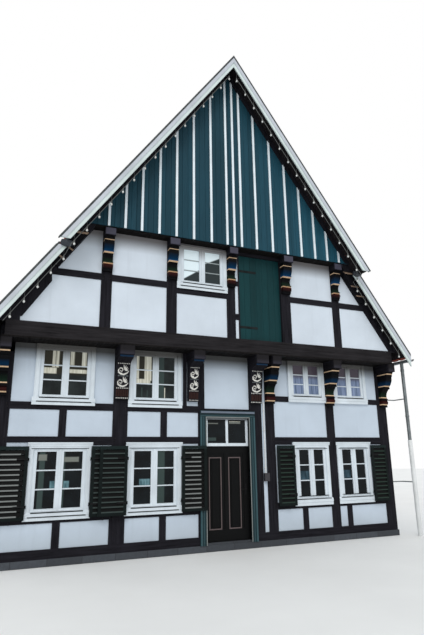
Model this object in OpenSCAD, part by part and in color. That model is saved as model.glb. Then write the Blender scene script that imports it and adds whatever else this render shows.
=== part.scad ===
// Half timbered house with a jettied front gable, shutters and a loft door.
// The origin lies on the ground under the middle of the house. The front faces -Y.

/* [House] */
// Width across the corner posts
house_w = 9200; // [9000:50:9600]
// Depth from the front wall's face to the rear wall's face
house_d = 11000; // [9500:100:12500]
// Depth of the wall timbers
wall_t = 200; // [180:10:220]
// Depth of the white infill panels
infill_t = 150; // [120:10:160]
// How far the infill lies behind the face of the timber
infill_set = 15; // [5:5:25]
// How far the attic storey stands out over the ground floor wall
jetty_low = 450; // [380:10:520]
// How far the upper gable stands out over the attic storey
jetty_top = 220; // [180:10:300]

/* [Base] */
// Height of the stone plinth
plinth_h = 125; // [100:5:180]
// How far the plinth stands out from the timber
plinth_out = 20; // [0:5:60]
// Width of the plinth wall
plinth_t = 260; // [240:10:320]
// Height of the sill timbers on the plinth
sill_h = 163; // [140:1:200]
// Height of the raised stone under the door
threshold_h = 35; // [20:5:60]

/* [Frame of the lower storeys] */
// Width of the four corner posts
corner_w = 280; // [240:10:320]
// Widths of the bays between the posts, stretched together to fill the wall
bays = [1939.5, 1535.5, 1080, 100, 1420, 1340];
// Widths of the main posts of the front and rear wall
post_w = [305, 150, 310, 230, 230];
// Width of the short studs
stud_w = 140; // [110:5:170]
// Bays that have a short stud, and how far across the bay it stands
studs = [[0, 0.5], [1, 0.5], [4, 0.5], [5, 0.2]];
// Width of the thin post beside the middle carved console
thin_post_w = 83; // [70:1:100]
// Gap between that thin post and the door post
thin_post_gap = 260; // [240:5:280]
// Underside of the rail below the lower windows
rail_1_z = 728; // [700:1:760]
// Height of that rail
rail_1_h = 140; // [120:5:160]
// Underside of the rail above the lower windows
rail_2_z = 2160; // [2100:5:2220]
// Height of that rail
rail_2_h = 110; // [90:5:130]
// Underside of the rail below the left middle windows
rail_3_z = 2775; // [2740:5:2800]
// Height of that rail
rail_3_h = 140; // [120:5:160]
// Underside of the rail beside the right middle windows
rail_4_z = 3070; // [3050:5:3120]
// Height of that rail
rail_4_h = 125; // [110:5:140]
// Underside of the lintel over the doorway
lintel_z = 2700; // [2660:5:2720]
// Height of the lintel
lintel_h = 170; // [150:5:180]
// Number of posts between the corner posts of a side wall
side_post_count = 5; // [4:1:6]
// Width of the posts of a side wall
side_post_w = 200; // [160:10:240]

/* [Floors] */
// Underside of the beams below the attic
beam_z = 3860; // [3820:5:3900]
// Height of the beams below the attic
beam_h = 190; // [170:5:210]
// Thickness of the floor boards on the beams
board_t = 35; // [30:5:50]
// Underside of the floors of the middle storey
mezzanine_z = 2400; // [2360:10:2440]
// Thickness of the floors of the middle storey
mezzanine_t = 160; // [120:10:200]
// Inner edge of the left floor of the middle storey
hall_left_x = -540; // [-600:10:-500]
// Inner edge of the right floor of the middle storey
hall_right_x = 1000; // [960:10:1060]
// Underside of the beams below the upper gable
top_beam_z = 6285; // [6250:5:6310]
// Height of the beams below the upper gable
top_beam_h = 155; // [140:5:170]

/* [Gable storey] */
// Height of the long beam that carries the gable storey
gable_beam_h = 290; // [260:5:310]
// How far that beam ends inside the corner posts
gable_beam_in = 60; // [20:5:120]
// Widths of the bays between the gable posts, stretched together to fill the gable
gable_bays = [311, 1175.5, 1180.5, 1200, 1190.5, 88];
// Widths of the posts of the gable storey
gable_post_w = [222, 229, 210, 250, 209];
// Height of the rail halfway up the gable storey
gable_rail_h = 140; // [120:5:160]
// Width of the thin jamb beside the loft door
loft_jamb_w = 30; // [25:1:40]
// Width of the white strip beside the loft door
loft_strip_w = 80; // [60:5:100]
// Height of the timber over the loft door
loft_head_h = 70; // [50:5:100]
// How far the loft door lies behind the face of the timber
loft_door_set = 60; // [40:5:80]
// Thickness of the loft door
loft_door_t = 45; // [35:5:60]
// Height of the lower short rail beside the loft door
loft_rail_1_h = 135; // [110:5:150]
// How far the lower short rail lies over the gable beam
loft_rail_1_up = 430; // [400:5:450]
// Height of the upper short rail beside the loft door
loft_rail_2_h = 114; // [90:1:130]
// How far the upper short rail lies over the rail halfway up
loft_rail_2_up = 100; // [80:5:140]
// Distance of the loft door's straps from its foot and its top
loft_strap_in = 260; // [220:10:320]
// Height of the sill rail and the collar rail behind the cladding
cladding_rail_h = 160; // [140:10:180]
// Underside of the collar rail behind the cladding
collar_z = 8500; // [8300:50:8700]

/* [Roof] */
// Pitch of the roof in degrees
roof_pitch = 55; // [54:0.5:56]
// Height of the rafters' underside over the attic floor, at the face of the side walls
knee_h = 105; // [90:5:120]
// How far the eaves stand out from the side walls
eave_out = 295; // [280:5:360]
// Thickness of the tiles, battens and boards
roof_t = 80; // [70:5:100]
// Depth of the rafters
rafter_h = 200; // [180:5:220]
// Width of the rafters
rafter_w = 120; // [100:5:140]
// Number of rafter pairs
rafter_count = 12; // [9:1:14]
// How far the roof stands out over the attic storey's wall and over the rear wall
verge = 250; // [220:10:280]
// How far the roof stands out over the upper gable
top_verge = 400; // [370:10:430]
// Height at which the upper verge ends on the left
step_left = 5890; // [5850:10:5950]
// Height at which the upper verge ends on the right
step_right = 6180; // [6120:10:6230]
// Fine joint between sloping faces that lie on each other
seat = 0.3; // [0.2:0.1:0.5]
// Thickness of the ridge board
ridge_board_t = 50; // [40:5:70]
// Depth of the ridge board
ridge_board_h = 240; // [220:10:280]
// Radius of the ridge tiles
ridge_r = 120; // [100:5:140]
// How far the ridge tiles stop behind the bargeboards
ridge_set = 120; // [60:10:200]
// Height of the wall plates that carry the rafters
plate_h = 215; // [190:5:235]

/* [Verges] */
// Half the joint where two sloping boards meet at the ridge
mitre = 1; // [0.5:0.5:3]
// Width of the bargeboards, square to their edge
barge_w = 165; // [140:5:190]
// Thickness of the bargeboards
barge_t = 30; // [25:1:40]
// Height of the metal trim on the bargeboards, square to their edge
trim_h = 18; // [14:1:26]
// Width of the metal trim from front to back
trim_w = 90; // [70:5:120]
// Width of the dark strips along the cladding, square to their edge
rake_w = 95; // [70:5:110]
// Thickness of the dark strips along the cladding
rake_t = 45; // [35:5:60]

/* [Cladding] */
// Thickness of the boards of the upper gable
cladding_t = 25; // [20:1:35]
// How far the boards hang below the top of the floor behind them
cladding_drop = 10; // [5:1:20]
// Width of the white cover battens
batten_w = 50; // [40:5:60]
// Thickness of the white cover battens
batten_t = 22; // [15:1:30]
// Spacings of the cover battens, from the middle batten outwards
batten_gaps = [181, 387, 423, 403, 387, 383, 353, 340];
// How far the middle batten is to the right of the ridge
batten_shift = 95; // [60:5:120]

/* [Consoles] */
// Height of the lower consoles
console_h = 850; // [800:10:900]
// Height of the upper consoles
top_console_h = 740; // [700:10:780]
// Depth of a painted console at its foot
console_foot = 55; // [40:5:70]
// How far a console's top stays behind the beam's end
console_back = 40; // [30:5:60]
// How far the fillets stand out from a console's curves
fillet_out = 22; // [15:1:30]
// Height of the fillets, as a share of a console's height
fillet_share = 0.045; // [0.035:0.005:0.055]
// Depth of a carved console at its foot
carved_foot = 70; // [50:5:90]
// Depth of a carved console at its top
carved_top = 170; // [150:10:200]
// Height of the plain head of a carved console
carved_head_h = 120; // [100:5:140]
// How much narrower a console is than its post
console_side = 12; // [5:1:20]
// Length of the consoles on the end rafters, along the rafter
rafter_console_l = 810; // [740:10:880]

/* [Windows] */
// Width of the left windows
window_w = 1150; // [1100:5:1180]
// Width of the lower right windows
narrow_w = 965; // [930:5:980]
// Width of the middle right windows
middle_w = 1020; // [980:5:1040]
// Width of the casing's side boards
casing_w = 90; // [75:1:95]
// How far the casing stands out from the timber
casing_out = 25; // [15:1:30]
// Depth of the frame behind the face of the timber
frame_in = 70; // [60:5:90]
// Width of a sash's stiles
stile_w = 68; // [55:1:75]
// Width of a sash's rails
sash_rail = 50; // [40:1:60]
// Thickness of the sashes
sash_t = 42; // [36:1:50]
// How far the sashes lie behind the casing's face
sash_set = 22; // [15:1:30]
// Thickness of the glass
glass_t = 6; // [4:1:10]
// Height of the gable window
gable_window_h = 890; // [840:10:910]
// Height of the infill over the gable window
gable_window_gap = 50; // [40:5:80]
// Height of the window sills
window_sill_h = 150; // [130:5:170]
// How far the window sills stand out from the timber
window_sill_out = 45; // [40:1:50]
// How far the sills and heads reach past the casing at each side
trim_past = 24; // [15:1:30]
// Height of the moulded window heads
window_head_h = 72; // [60:1:85]

/* [Shutters] */
// Thickness of the shutters
shutter_t = 35; // [30:1:42]
// Width of the shutters' stiles and rails
shutter_stile = 62; // [50:1:75]
// Thickness of the louvres
louvre_t = 12; // [9:1:15]
// Spacing of the louvres
louvre_pitch = 88; // [80:1:100]
// Tilt of the louvres in degrees
louvre_tilt = 75; // [70:1:75]
// How far the louvres stay behind the shutters' faces
louvre_set = 0.5; // [0.3:0.1:2]
// Bottom of the shutters
shutter_z = 800; // [785:5:830]
// Gap between the shutters' tops and the rail above the windows
shutter_top_gap = 72; // [65:1:90]
// Free gap between a shutter and what it passes
shutter_clear = 6; // [5:1:9]
// Distance of the hinge axis from the casing's outer edge
hinge_in = 12; // [11:1:16]
// Distance of the hinge axis from the shutter's edge
hinge_edge = 14; // [13:1:18]
// Radius of the hinge pins
pin_r = 5; // [4:0.5:6]
// Radius of the hinge eyes
eye_r = 9; // [8.5:0.5:10]
// Height of the hinge eyes
eye_h = 44; // [36:2:60]
// Gap around the hinge pins
pin_gap = 0.3; // [0.2:0.05:0.5]
// Distance of the hinges from the shutters' ends
hinge_end = 210; // [180:5:240]
// Length of the hinge straps on the shutters
strap_l = 60; // [50:5:80]
// Thickness of the hinge straps
strap_t = 5; // [4:1:7]

/* [Door] */
// Width of the door frame's jambs
jamb_w = 30; // [25:1:35]
// Depth of the door frame
door_frame_t = 110; // [90:5:130]
// How far the door frame lies behind the face of the timber
door_frame_set = 40; // [30:5:60]
// Thickness of the door leaf
leaf_t = 50; // [44:1:60]
// Gap around the door leaf
leaf_gap = 6; // [5:1:8]
// Underside of the bar over the door leaf
transom_z = 2080; // [2040:5:2110]
// Height of that bar
transom_h = 55; // [45:5:70]
// Width of the fanlight's white frame
fanlight_w = 55; // [45:1:65]
// Width of the boards around the doorway
surround_w = 145; // [135:5:160]
// How far those boards stand out from the timber
surround_out = 38; // [25:1:40]
// Top of the boards around the doorway
surround_z = 2825; // [2810:5:2840]
// Height of the head over the doorway
surround_head_h = 130; // [115:5:140]
// Depth of the sunk panels in the door leaf
panel_sink = 12; // [8:1:16]
// Height of the door leaf's foot rail and its head rail
leaf_foot_h = 230; // [200:5:260]
leaf_head_h = 150; // [120:5:180]
// Width of the moulding round a door panel
panel_edge = 45; // [35:1:55]
// Distance of the door's hinges from the leaf's ends
door_hinge_end = 250; // [200:5:300]
// Height of the door handle above the threshold
handle_z = 1020; // [980:10:1080]
// Height of the plate behind the door handle
handle_plate_h = 220; // [180:10:260]

/* [Rainwater and conduit] */
// Outer radius of the gutters
gutter_r = 65; // [55:1:75]
// Wall of the gutters
gutter_wall = 4; // [3:0.5:6]
// How far the gutter's rim lies below the roof's edge
gutter_drop = 90; // [70:5:110]
// Radius of the downpipes
downpipe_r = 42; // [35:1:50]
// Distance of the downpipes in front of the face of the front wall
downpipe_y = 330; // [290:5:350]
// Heights of the downpipes' brackets
bracket_z = [1200, 3200];
// Height and width of those brackets
bracket_h = 24; // [18:1:30]
// Distance of the brackets behind the face of the front wall
bracket_y = 60; // [40:5:120]
// Radius of the conduit on the front wall
conduit_r = 14; // [10:1:18]
// Top of the conduit
conduit_top = 3045; // [2950:5:3060]
// Bottom of the conduit's box
conduit_box_z = 1330; // [1250:10:1400]

/* [Hidden] */
$fn = 32;

front_y = -house_d / 2;
rear_y = house_d / 2;
side_x = house_w / 2;
attic_y = front_y - jetty_low;
top_y = attic_y - jetty_top;
low_verge_y = attic_y - verge;
top_verge_y = top_y - top_verge;
rear_verge_y = rear_y + verge;
sill_top = plinth_h + sill_h;
floor_under = beam_z + beam_h;
gable_beam_z = floor_under + board_t;
gable_z = gable_beam_z + gable_beam_h;
top_floor_under = top_beam_z + top_beam_h;
cladding_z = top_floor_under + board_t;
inner_corner_x = side_x - corner_w;
inner_side_x = side_x - wall_t;

// The roof's planes follow from the side walls, the attic floor and the pitch
slope = tan(roof_pitch);
roof_drop = roof_t / cos(roof_pitch);
rafter_drop = rafter_h / cos(roof_pitch);
seat_drop = seat / cos(roof_pitch);
under_roof = roof_drop + seat_drop;
under_rafters = roof_drop + rafter_drop + seat_drop;
eave_x = side_x + eave_out;
apex_z = gable_beam_z + knee_h + slope * side_x + roof_drop + rafter_drop;
function roof_x(z, drop) = (apex_z - drop - z) / slope;
function roof_z(x, drop) = apex_z - drop - slope * x;

// Edges and centres of the posts, from the bays between them
function total(list, n) = n < 1 ? 0 : list[n - 1] + total(list, n - 1);
function stretch(room, gaps, posts) = (room - total(posts, len(posts))) / total(gaps, len(gaps));
function to_tenth(v) = round(10 * v) / 10;
function post_left(i, start, k, gaps, posts) = to_tenth(start + k * total(gaps, i + 1) + total(posts, i));
bay_stretch = stretch(2 * inner_corner_x, bays, post_w);
post_x = [for (i = [0:4]) post_left(i, -inner_corner_x, bay_stretch, bays, post_w) + post_w[i] / 2];
function bay_at(i, share) = -inner_corner_x + bay_stretch * (total(bays, i) + share * bays[i]) + total(post_w, i);
stud_x = [for (s = studs) bay_at(s[0], s[1])];
gable_half = roof_x(top_beam_z, under_rafters);
gable_stretch = stretch(2 * gable_half, gable_bays, gable_post_w);
gable_post_x = [for (i = [0:4]) post_left(i, -gable_half, gable_stretch, gable_bays, gable_post_w) + gable_post_w[i] / 2];
gable_beam_w = house_w - 2 * gable_beam_in;
gable_rail_z = top_floor_under - gable_window_gap - gable_window_h - gable_rail_h;

door_left = post_x[1] + post_w[1] / 2;
door_right = post_x[2] - post_w[2] / 2;
door_z = plinth_h + threshold_h;
thin_post_x = post_x[1] - post_w[1] / 2 - thin_post_gap - thin_post_w / 2;
right_frame_x = post_x[3] + post_w[3] / 2;
loft_left = gable_post_x[2] + gable_post_w[2] / 2 + loft_strip_w + loft_jamb_w;
loft_right = gable_post_x[3] - gable_post_w[3] / 2;

// Left edges and right edges of the posts that the windows stand against
post_2_right = post_x[0] + post_w[0] / 2;
post_6_left = post_x[4] - post_w[4] / 2;
post_6_right = post_x[4] + post_w[4] / 2;
left_window_x = (-inner_corner_x + post_x[0] - post_w[0] / 2) / 2;
second_window_x = post_2_right + window_w / 2;
third_window_x = post_6_left - narrow_w / 2;
fourth_window_x = post_6_right + narrow_w / 2;
lower_z = rail_1_z + rail_1_h;
middle_z = rail_3_z + rail_3_h;
gable_window_z = gable_rail_z + gable_rail_h;
gable_window_x = (gable_post_x[1] + gable_post_w[1] / 2 + gable_post_x[2] - gable_post_w[2] / 2) / 2;
gable_window_w = gable_post_x[2] - gable_post_x[1] - gable_post_w[1] / 2 - gable_post_w[2] / 2;

// Windows as centre, width, underside, top, foot casing, head casing and the reach of the sill.
// The sills between consoles stop short of them.
short_reach = console_side - 2;
LOWER_WINDOWS = [
    [left_window_x, window_w, lower_z, rail_2_z, 60, 120, trim_past],
    [second_window_x, window_w, lower_z, rail_2_z, 60, 120, trim_past],
    [third_window_x, narrow_w, lower_z, rail_2_z, 60, 120, trim_past],
    [fourth_window_x, narrow_w, lower_z, rail_2_z, 60, 120, trim_past]];
MIDDLE_WINDOWS = [
    [left_window_x, window_w, middle_z, floor_under, 95, 70, trim_past],
    [second_window_x, window_w, middle_z, floor_under, 95, 70, short_reach],
    [post_6_left - middle_w / 2, middle_w, rail_4_z, floor_under, 150, 50, short_reach],
    [post_6_right + middle_w / 2, middle_w, rail_4_z, floor_under, 150, 50, short_reach]];
GABLE_WINDOWS = [[gable_window_x, gable_window_w, gable_window_z, gable_window_z + gable_window_h, 30, 30, short_reach]];
WALL_WINDOWS = concat(LOWER_WINDOWS, MIDDLE_WINDOWS);

side_l = house_d - 2 * wall_t;
side_bay = (side_l - side_post_count * side_post_w) / (side_post_count + 1);
function side_post_at(i) = -side_l / 2 + i * (side_bay + side_post_w) - side_post_w / 2;
function side_bay_at(i) = -side_l / 2 + (i + 0.5) * side_bay + i * side_post_w;
SIDE_WINDOWS = [for (bay = [1, side_post_count - 1])
    for (row = [[lower_z, rail_2_z, 60, 120], [middle_z, beam_z, 95, 70]])
        [side_bay_at(bay), window_w, row[0], row[1], row[2], row[3], trim_past]];

// Beams below the attic stand over the main posts and the side walls
BEAMS = concat([[-side_x + wall_t / 2, wall_t]],
    [[thin_post_x + thin_post_gap / 2 + thin_post_w / 2, thin_post_gap]],
    [for (i = [0, 2, 3, 4]) [post_x[i], post_w[i]]],
    [[side_x - wall_t / 2, wall_t]]);
TOP_BEAMS = [for (i = [0:4]) [gable_post_x[i], gable_post_w[i]]];

module rect(x0, x1, z0, z1) translate([x0, z0]) square([x1 - x0, z1 - z0]);
module upright(cx, w, z0, z1) rect(cx - w / 2, cx + w / 2, z0, z1);

// Stands a flat outline up as a wall whose nearer face is at y
module stand(y, t) translate([0, y + t, 0]) rotate([90, 0, 0]) linear_extrude(t) children();

// The left and the right side wall, drawn as a wall that faces -Y
module on_sides() {
    rotate([0, 0, -90]) children();
    rotate([0, 0, 90]) children();
}

// Stands a console's side outline out from the wall at y
module stand_out(cx, w, y, z)
    translate([cx + w / 2, y, z]) rotate([0, 0, -90]) rotate([90, 0, 0]) linear_extrude(w) children();

// A strip along the right roof slope between two drops, from x0 to x1
module slope_strip(x0, x1, drop_0, drop_1)
    polygon([[x0, roof_z(x0, drop_0)], [x1, roof_z(x1, drop_0)],
        [x1, roof_z(x1, drop_1)], [x0, roof_z(x0, drop_1)]]);
module both_slopes() {
    children();
    mirror([1, 0]) children();
}
// An outline of the right slope, put on the left slope for side 0
module on_slope(side) mirror([1 - side, 0]) children();

// Outlines of the lower storeys, shared by the front and the rear wall
module post_faces() {
    for (s = [-1, 1]) upright(s * (side_x - corner_w / 2), corner_w, sill_top, beam_z);
    for (i = [0:4]) upright(post_x[i], post_w[i], sill_top, beam_z);
}
module thin_post_face() upright(thin_post_x, thin_post_w, middle_z, floor_under);
module stud_faces() {
    for (x = stud_x) upright(x, stud_w, sill_top, rail_1_z);
    for (i = [0, 1]) upright(stud_x[i], stud_w, rail_2_z + rail_2_h, rail_3_z);
}
module rail_faces() {
    for (span = [[-inner_corner_x, door_left - 1], [right_frame_x - 1, inner_corner_x]]) {
        rect(span[0], span[1], rail_1_z, rail_1_z + rail_1_h);
        rect(span[0], span[1], rail_2_z, rail_2_z + rail_2_h);
    }
    rect(-inner_corner_x, door_left - 1, rail_3_z, rail_3_z + rail_3_h);
    rect(right_frame_x - 1, inner_corner_x, rail_4_z, rail_4_z + rail_4_h);
}
module lintel_face() rect(door_left, door_right, lintel_z, lintel_z + lintel_h);
module window_faces(list) for (w = list) upright(w[0], w[1], w[2], w[3]);
module beam_faces(list, z0, z1) for (b = list) upright(b[0], b[1], z0, z1);
module doorway_face() rect(door_left, door_right, 0, lintel_z);

// Outlines of the gable storey
module rafter_faces() both_slopes() slope_strip(0, eave_x, under_roof, roof_drop + rafter_drop);
module gable_post_faces() for (i = [0:4]) upright(gable_post_x[i], gable_post_w[i], gable_z, top_beam_z);
module gable_rail_face() rect(-side_x, side_x, gable_rail_z, gable_rail_z + gable_rail_h);
module gable_field(z0, z1, drop)
    polygon([[-roof_x(z0, drop), z0], [roof_x(z0, drop), z0], [roof_x(z1, drop), z1], [-roof_x(z1, drop), z1]]);
loft_top = top_floor_under - loft_head_h;
module loft_face() rect(loft_left, loft_right, gable_z, loft_top);
module loft_head_face() rect(loft_left, loft_right, loft_top, top_floor_under);
module loft_jamb_face() rect(loft_left - loft_jamb_w, loft_left, gable_z, top_floor_under);
loft_rail_z = [gable_z + loft_rail_1_up, gable_rail_z + gable_rail_h + loft_rail_2_up];
module loft_rail_faces() {
    x = loft_left - loft_jamb_w - loft_strip_w;
    rect(x, x + loft_strip_w, loft_rail_z[0], loft_rail_z[0] + loft_rail_1_h);
    rect(x, x + loft_strip_w, loft_rail_z[1], loft_rail_z[1] + loft_rail_2_h);
}

module plinth() color("dimgray") {
    difference() {
        translate([-side_x - plinth_out, front_y - plinth_out, 0])
            cube([house_w + 2 * plinth_out, house_d + 2 * plinth_out, plinth_h]);
        translate([-side_x - plinth_out + plinth_t, front_y - plinth_out + plinth_t, -1])
            cube([house_w + 2 * (plinth_out - plinth_t), house_d + 2 * (plinth_out - plinth_t), plinth_h + 2]);
    }
    translate([door_left, front_y, plinth_h - 1]) cube([door_right - door_left, wall_t, threshold_h + 1]);
}
module ground_floor() color("gray")
    translate([-side_x - plinth_out + plinth_t, front_y - plinth_out + plinth_t, 0])
        cube([house_w + 2 * (plinth_out - plinth_t), house_d + 2 * (plinth_out - plinth_t), plinth_h]);
module sills() color("#26242a") {
    stand(front_y, wall_t) difference() {
        rect(-side_x, side_x, plinth_h, sill_top);
        doorway_face();
    }
    stand(rear_y - wall_t, wall_t) rect(-side_x, side_x, plinth_h, sill_top);
    on_sides() stand(-side_x, wall_t) rect(-side_l / 2 + 2, side_l / 2 - 2, plinth_h, sill_top);
}

module front_posts() color("#26242a") stand(front_y, wall_t) {
    post_faces();
    thin_post_face();
    difference() {
        stud_faces();
        post_faces();
    }
}
module front_rails() color("#26242a") stand(front_y, wall_t) {
    difference() {
        rail_faces();
        post_faces();
        window_faces(MIDDLE_WINDOWS);
    }
    lintel_face();
}
module front_infill() color("#d5dfe8") stand(front_y + infill_set, infill_t) difference() {
    rect(-inner_corner_x, inner_corner_x, sill_top, floor_under);
    post_faces();
    thin_post_face();
    stud_faces();
    rail_faces();
    lintel_face();
    doorway_face();
    window_faces(WALL_WINDOWS);
    beam_faces(BEAMS, beam_z, floor_under);
}

module side_post_faces() for (i = [1:side_post_count]) upright(side_post_at(i), side_post_w, sill_top, beam_z);
module side_rail_faces() for (r = [[rail_1_z, rail_1_h], [rail_2_z, rail_2_h], [rail_3_z, rail_3_h]])
    rect(-side_l / 2, side_l / 2, r[0], r[0] + r[1]);
module side_posts() color("#26242a") on_sides() stand(-side_x, wall_t) side_post_faces();
module side_rails() color("#26242a") on_sides() stand(-side_x, wall_t) difference() {
    side_rail_faces();
    side_post_faces();
}
module side_infill() color("#d5dfe8") on_sides() stand(-side_x + infill_set, infill_t) difference() {
    rect(-side_l / 2, side_l / 2, sill_top, beam_z);
    side_post_faces();
    side_rail_faces();
    window_faces(SIDE_WINDOWS);
}

// The rear wall repeats the front's frame, with infill in place of the doors
module rear_posts() color("#26242a") stand(rear_y - wall_t, wall_t) {
    post_faces();
    thin_post_face();
    difference() {
        stud_faces();
        post_faces();
    }
    gable_post_faces();
}
module rear_rails() color("#26242a") stand(rear_y - wall_t, wall_t) {
    difference() {
        rail_faces();
        post_faces();
        window_faces(MIDDLE_WINDOWS);
    }
    lintel_face();
    gable_rails_flat();
}
module rear_infill() color("#d5dfe8") stand(rear_y - infill_set - infill_t, infill_t) {
    difference() {
        rect(-inner_corner_x, inner_corner_x, sill_top, floor_under);
        post_faces();
        thin_post_face();
        stud_faces();
        rail_faces();
        lintel_face();
        window_faces(WALL_WINDOWS);
        beam_faces(BEAMS, beam_z, floor_under);
    }
    difference() {
        gable_field(gable_z, top_floor_under, under_rafters);
        gable_post_faces();
        gable_rail_face();
        window_faces(GABLE_WINDOWS);
        beam_faces(TOP_BEAMS, top_beam_z, top_floor_under);
    }
}

module plank_floors() color("#8a6f4d") {
    translate([-inner_side_x, front_y + wall_t, mezzanine_z]) cube([inner_side_x + hall_left_x, side_l, mezzanine_t]);
    translate([hall_right_x, front_y + wall_t, mezzanine_z]) cube([inner_side_x - hall_right_x, side_l, mezzanine_t]);
    translate([-side_x, attic_y, floor_under]) cube([house_w, rear_y - attic_y, board_t]);
    stand(top_y, rear_y - top_y)
        gable_field(top_floor_under, top_floor_under + board_t, under_rafters);
}
module floor_beams() color("#2b282d") {
    stand(attic_y, rear_y - attic_y) beam_faces(BEAMS, beam_z, floor_under);
    stand(top_y, rear_y - top_y) intersection() {
        beam_faces(TOP_BEAMS, top_beam_z, top_floor_under);
        gable_field(top_beam_z, top_floor_under, under_rafters);
    }
}

// Heights of the fillets of a lower and of an upper console, as shares of the console's height.
// The foot of an upper console has no fillet.
LOWER_STOPS = [0, 0.2, 0.52, 0.86];
UPPER_STOPS = [0, 0.23, 0.54, 0.92];
// Side outline of a painted console: three curved parts between its fillets.
// Each part swells out and falls back towards the fillet below it.
function bow(a, b, out, n = 8) = [for (i = [0:n]) let (t = i / n)
    [a[0] + (b[0] - a[0]) * t + out * 4 * t * (1 - t), a[1] + (b[1] - a[1]) * t]];
function console_depth(share, foot, top) = foot + (top - foot) * pow(share, 1.5);
module console_outline(h, top, stops, first_fillet) {
    f = fillet_share;
    points = [for (i = [0:3]) let (
            low = stops[i] + f,
            high = i < 3 ? stops[i + 1] : 1,
            d0 = console_depth(low, console_foot, top),
            d1 = console_depth(high, console_foot, top),
            edge = d0 + (i >= first_fillet && i < first_fillet + 3 ? fillet_out : 0))
        each concat(
            [[edge, stops[i] * h], [edge, low * h]],
            bow([d0, low * h], [d1, high * h], i < 3 ? (i == 1 ? -0.06 : 0.05) * h : 0))];
    polygon(concat([[0, 0]], points, [[0, h]]));
}
module painted_consoles() color("#2f5f8a") {
    low_top = jetty_low - console_back - fillet_out;
    high_top = jetty_top - console_back - fillet_out;
    for (s = [-1, 1])
        stand_out(s * (side_x - wall_t / 2), wall_t - 2 * console_side, front_y, beam_z - console_h)
            console_outline(console_h, low_top, LOWER_STOPS, 0);
    for (i = [3, 4])
        stand_out(post_x[i], post_w[i] - 2 * console_side, front_y, beam_z - console_h)
            console_outline(console_h, low_top, LOWER_STOPS, 0);
    for (i = [0:4])
        stand_out(gable_post_x[i], gable_post_w[i] - 2 * console_side, attic_y, top_beam_z - top_console_h)
            console_outline(top_console_h, high_top, UPPER_STOPS, 1);
    for (side = [0, 1]) rafter_console(side, high_top);
}
// The part of an end rafter's face between two shares of a console's length, cut square to the rafter
// on the left and level on the right
function rafter_point(share, drop) = let (x = roof_x(top_beam_z, under_roof) + share * rafter_console_l * cos(roof_pitch))
    [x - drop * sin(roof_pitch), roof_z(x, under_roof) - drop * cos(roof_pitch)];
module rafter_piece(side, from, to) intersection() {
    slope_strip(0, eave_x, under_roof, roof_drop + rafter_drop);
    if (side == 0)
        polygon([rafter_point(from, -1), rafter_point(to, -1), rafter_point(to, rafter_h + 1), rafter_point(from, rafter_h + 1)]);
    else
        rect(0, side_x, top_beam_z - to * top_console_h, top_beam_z - from * top_console_h);
}
// A console on an end rafter: three steps between their fillets, under the level end of the beam
module rafter_console(side, top) {
    ENDS = [-0.5, 0.44, 0.75, 1];
    for (i = [0:2]) {
        depth = console_depth(1 - max(0, ENDS[i]), console_foot, top);
        stand(attic_y - depth, depth) on_slope(side) difference() {
            rafter_piece(side, ENDS[i], ENDS[i + 1]);
            rect(0, side_x, top_beam_z, apex_z);
        }
        if (i > 0) stand(attic_y - depth - fillet_out, depth + fillet_out) on_slope(side)
            rafter_piece(side, ENDS[i], ENDS[i] + fillet_share);
    }
    stand(attic_y - top - fillet_out, top + fillet_out) on_slope(side)
        rafter_piece(1, 1 - UPPER_STOPS[3] - fillet_share, 1 - UPPER_STOPS[3]);
}

// Side outline of a carved console: a sloping board under a plain head
module carved_outline(back) {
    board_h = console_h - carved_head_h;
    polygon(concat([[-back, 0], [carved_foot, 0]],
        bow([carved_foot, 0], [carved_top, board_h], -12),
        [[carved_top + 60, board_h + 20], [jetty_low - console_back, console_h - 40],
            [jetty_low - console_back, console_h], [-back, console_h]]));
}
module carved_consoles() color("#3a3a40") {
    for (i = [0, 2])
        stand_out(post_x[i], post_w[i] - 2 * console_side, front_y, beam_z - console_h) carved_outline(0);
    stand_out(BEAMS[1][0], BEAMS[1][1] - 2 * console_side, front_y, beam_z - console_h)
        carved_outline(infill_set);
}

module gable_beams() color("#26242a") for (y = [attic_y, rear_y - wall_t])
    stand(y, wall_t) rect(-gable_beam_w / 2, gable_beam_w / 2, gable_beam_z, gable_z);
module gable_posts() color("#26242a") stand(attic_y, wall_t) {
    gable_post_faces();
    loft_jamb_face();
}
// Rails of the gable storey, cut at the posts, the rafters and the loft door
module gable_rails_flat() difference() {
    intersection() {
        gable_rail_face();
        gable_field(gable_z, top_beam_z, under_rafters);
    }
    gable_post_faces();
}
module gable_rails() color("#26242a") {
    stand(attic_y, wall_t) {
        difference() {
            gable_rails_flat();
            rect(loft_left - loft_jamb_w - loft_strip_w - 1, loft_right + 1, gable_z, top_beam_z);
        }
        loft_rail_faces();
        loft_head_face();
    }
    for (y = [top_y, rear_y - wall_t]) for (z = [cladding_z, collar_z])
        stand(y, wall_t) gable_field(z, z + cladding_rail_h, under_rafters);
}
module gable_infill() color("#d5dfe8") stand(attic_y + infill_set, infill_t) difference() {
    gable_field(gable_z, top_floor_under, under_rafters);
    gable_post_faces();
    difference() {
        gable_rail_face();
        loft_face();
        rect(loft_left - loft_jamb_w - loft_strip_w, loft_left, gable_z, top_beam_z);
    }
    loft_rail_faces();
    loft_jamb_face();
    loft_face();
    loft_head_face();
    window_faces(GABLE_WINDOWS);
    beam_faces(TOP_BEAMS, top_beam_z, top_floor_under);
}
module loft_door() color("#1f4a48") {
    stand(attic_y + loft_door_set, loft_door_t) loft_face();
    for (z = [gable_z + loft_strap_in, loft_top - loft_strap_in - 140])
        translate([loft_left + 20, attic_y + loft_door_set - 6, z])
            cube([(loft_right - loft_left) * 0.8, 7, 60]);
}

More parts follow.
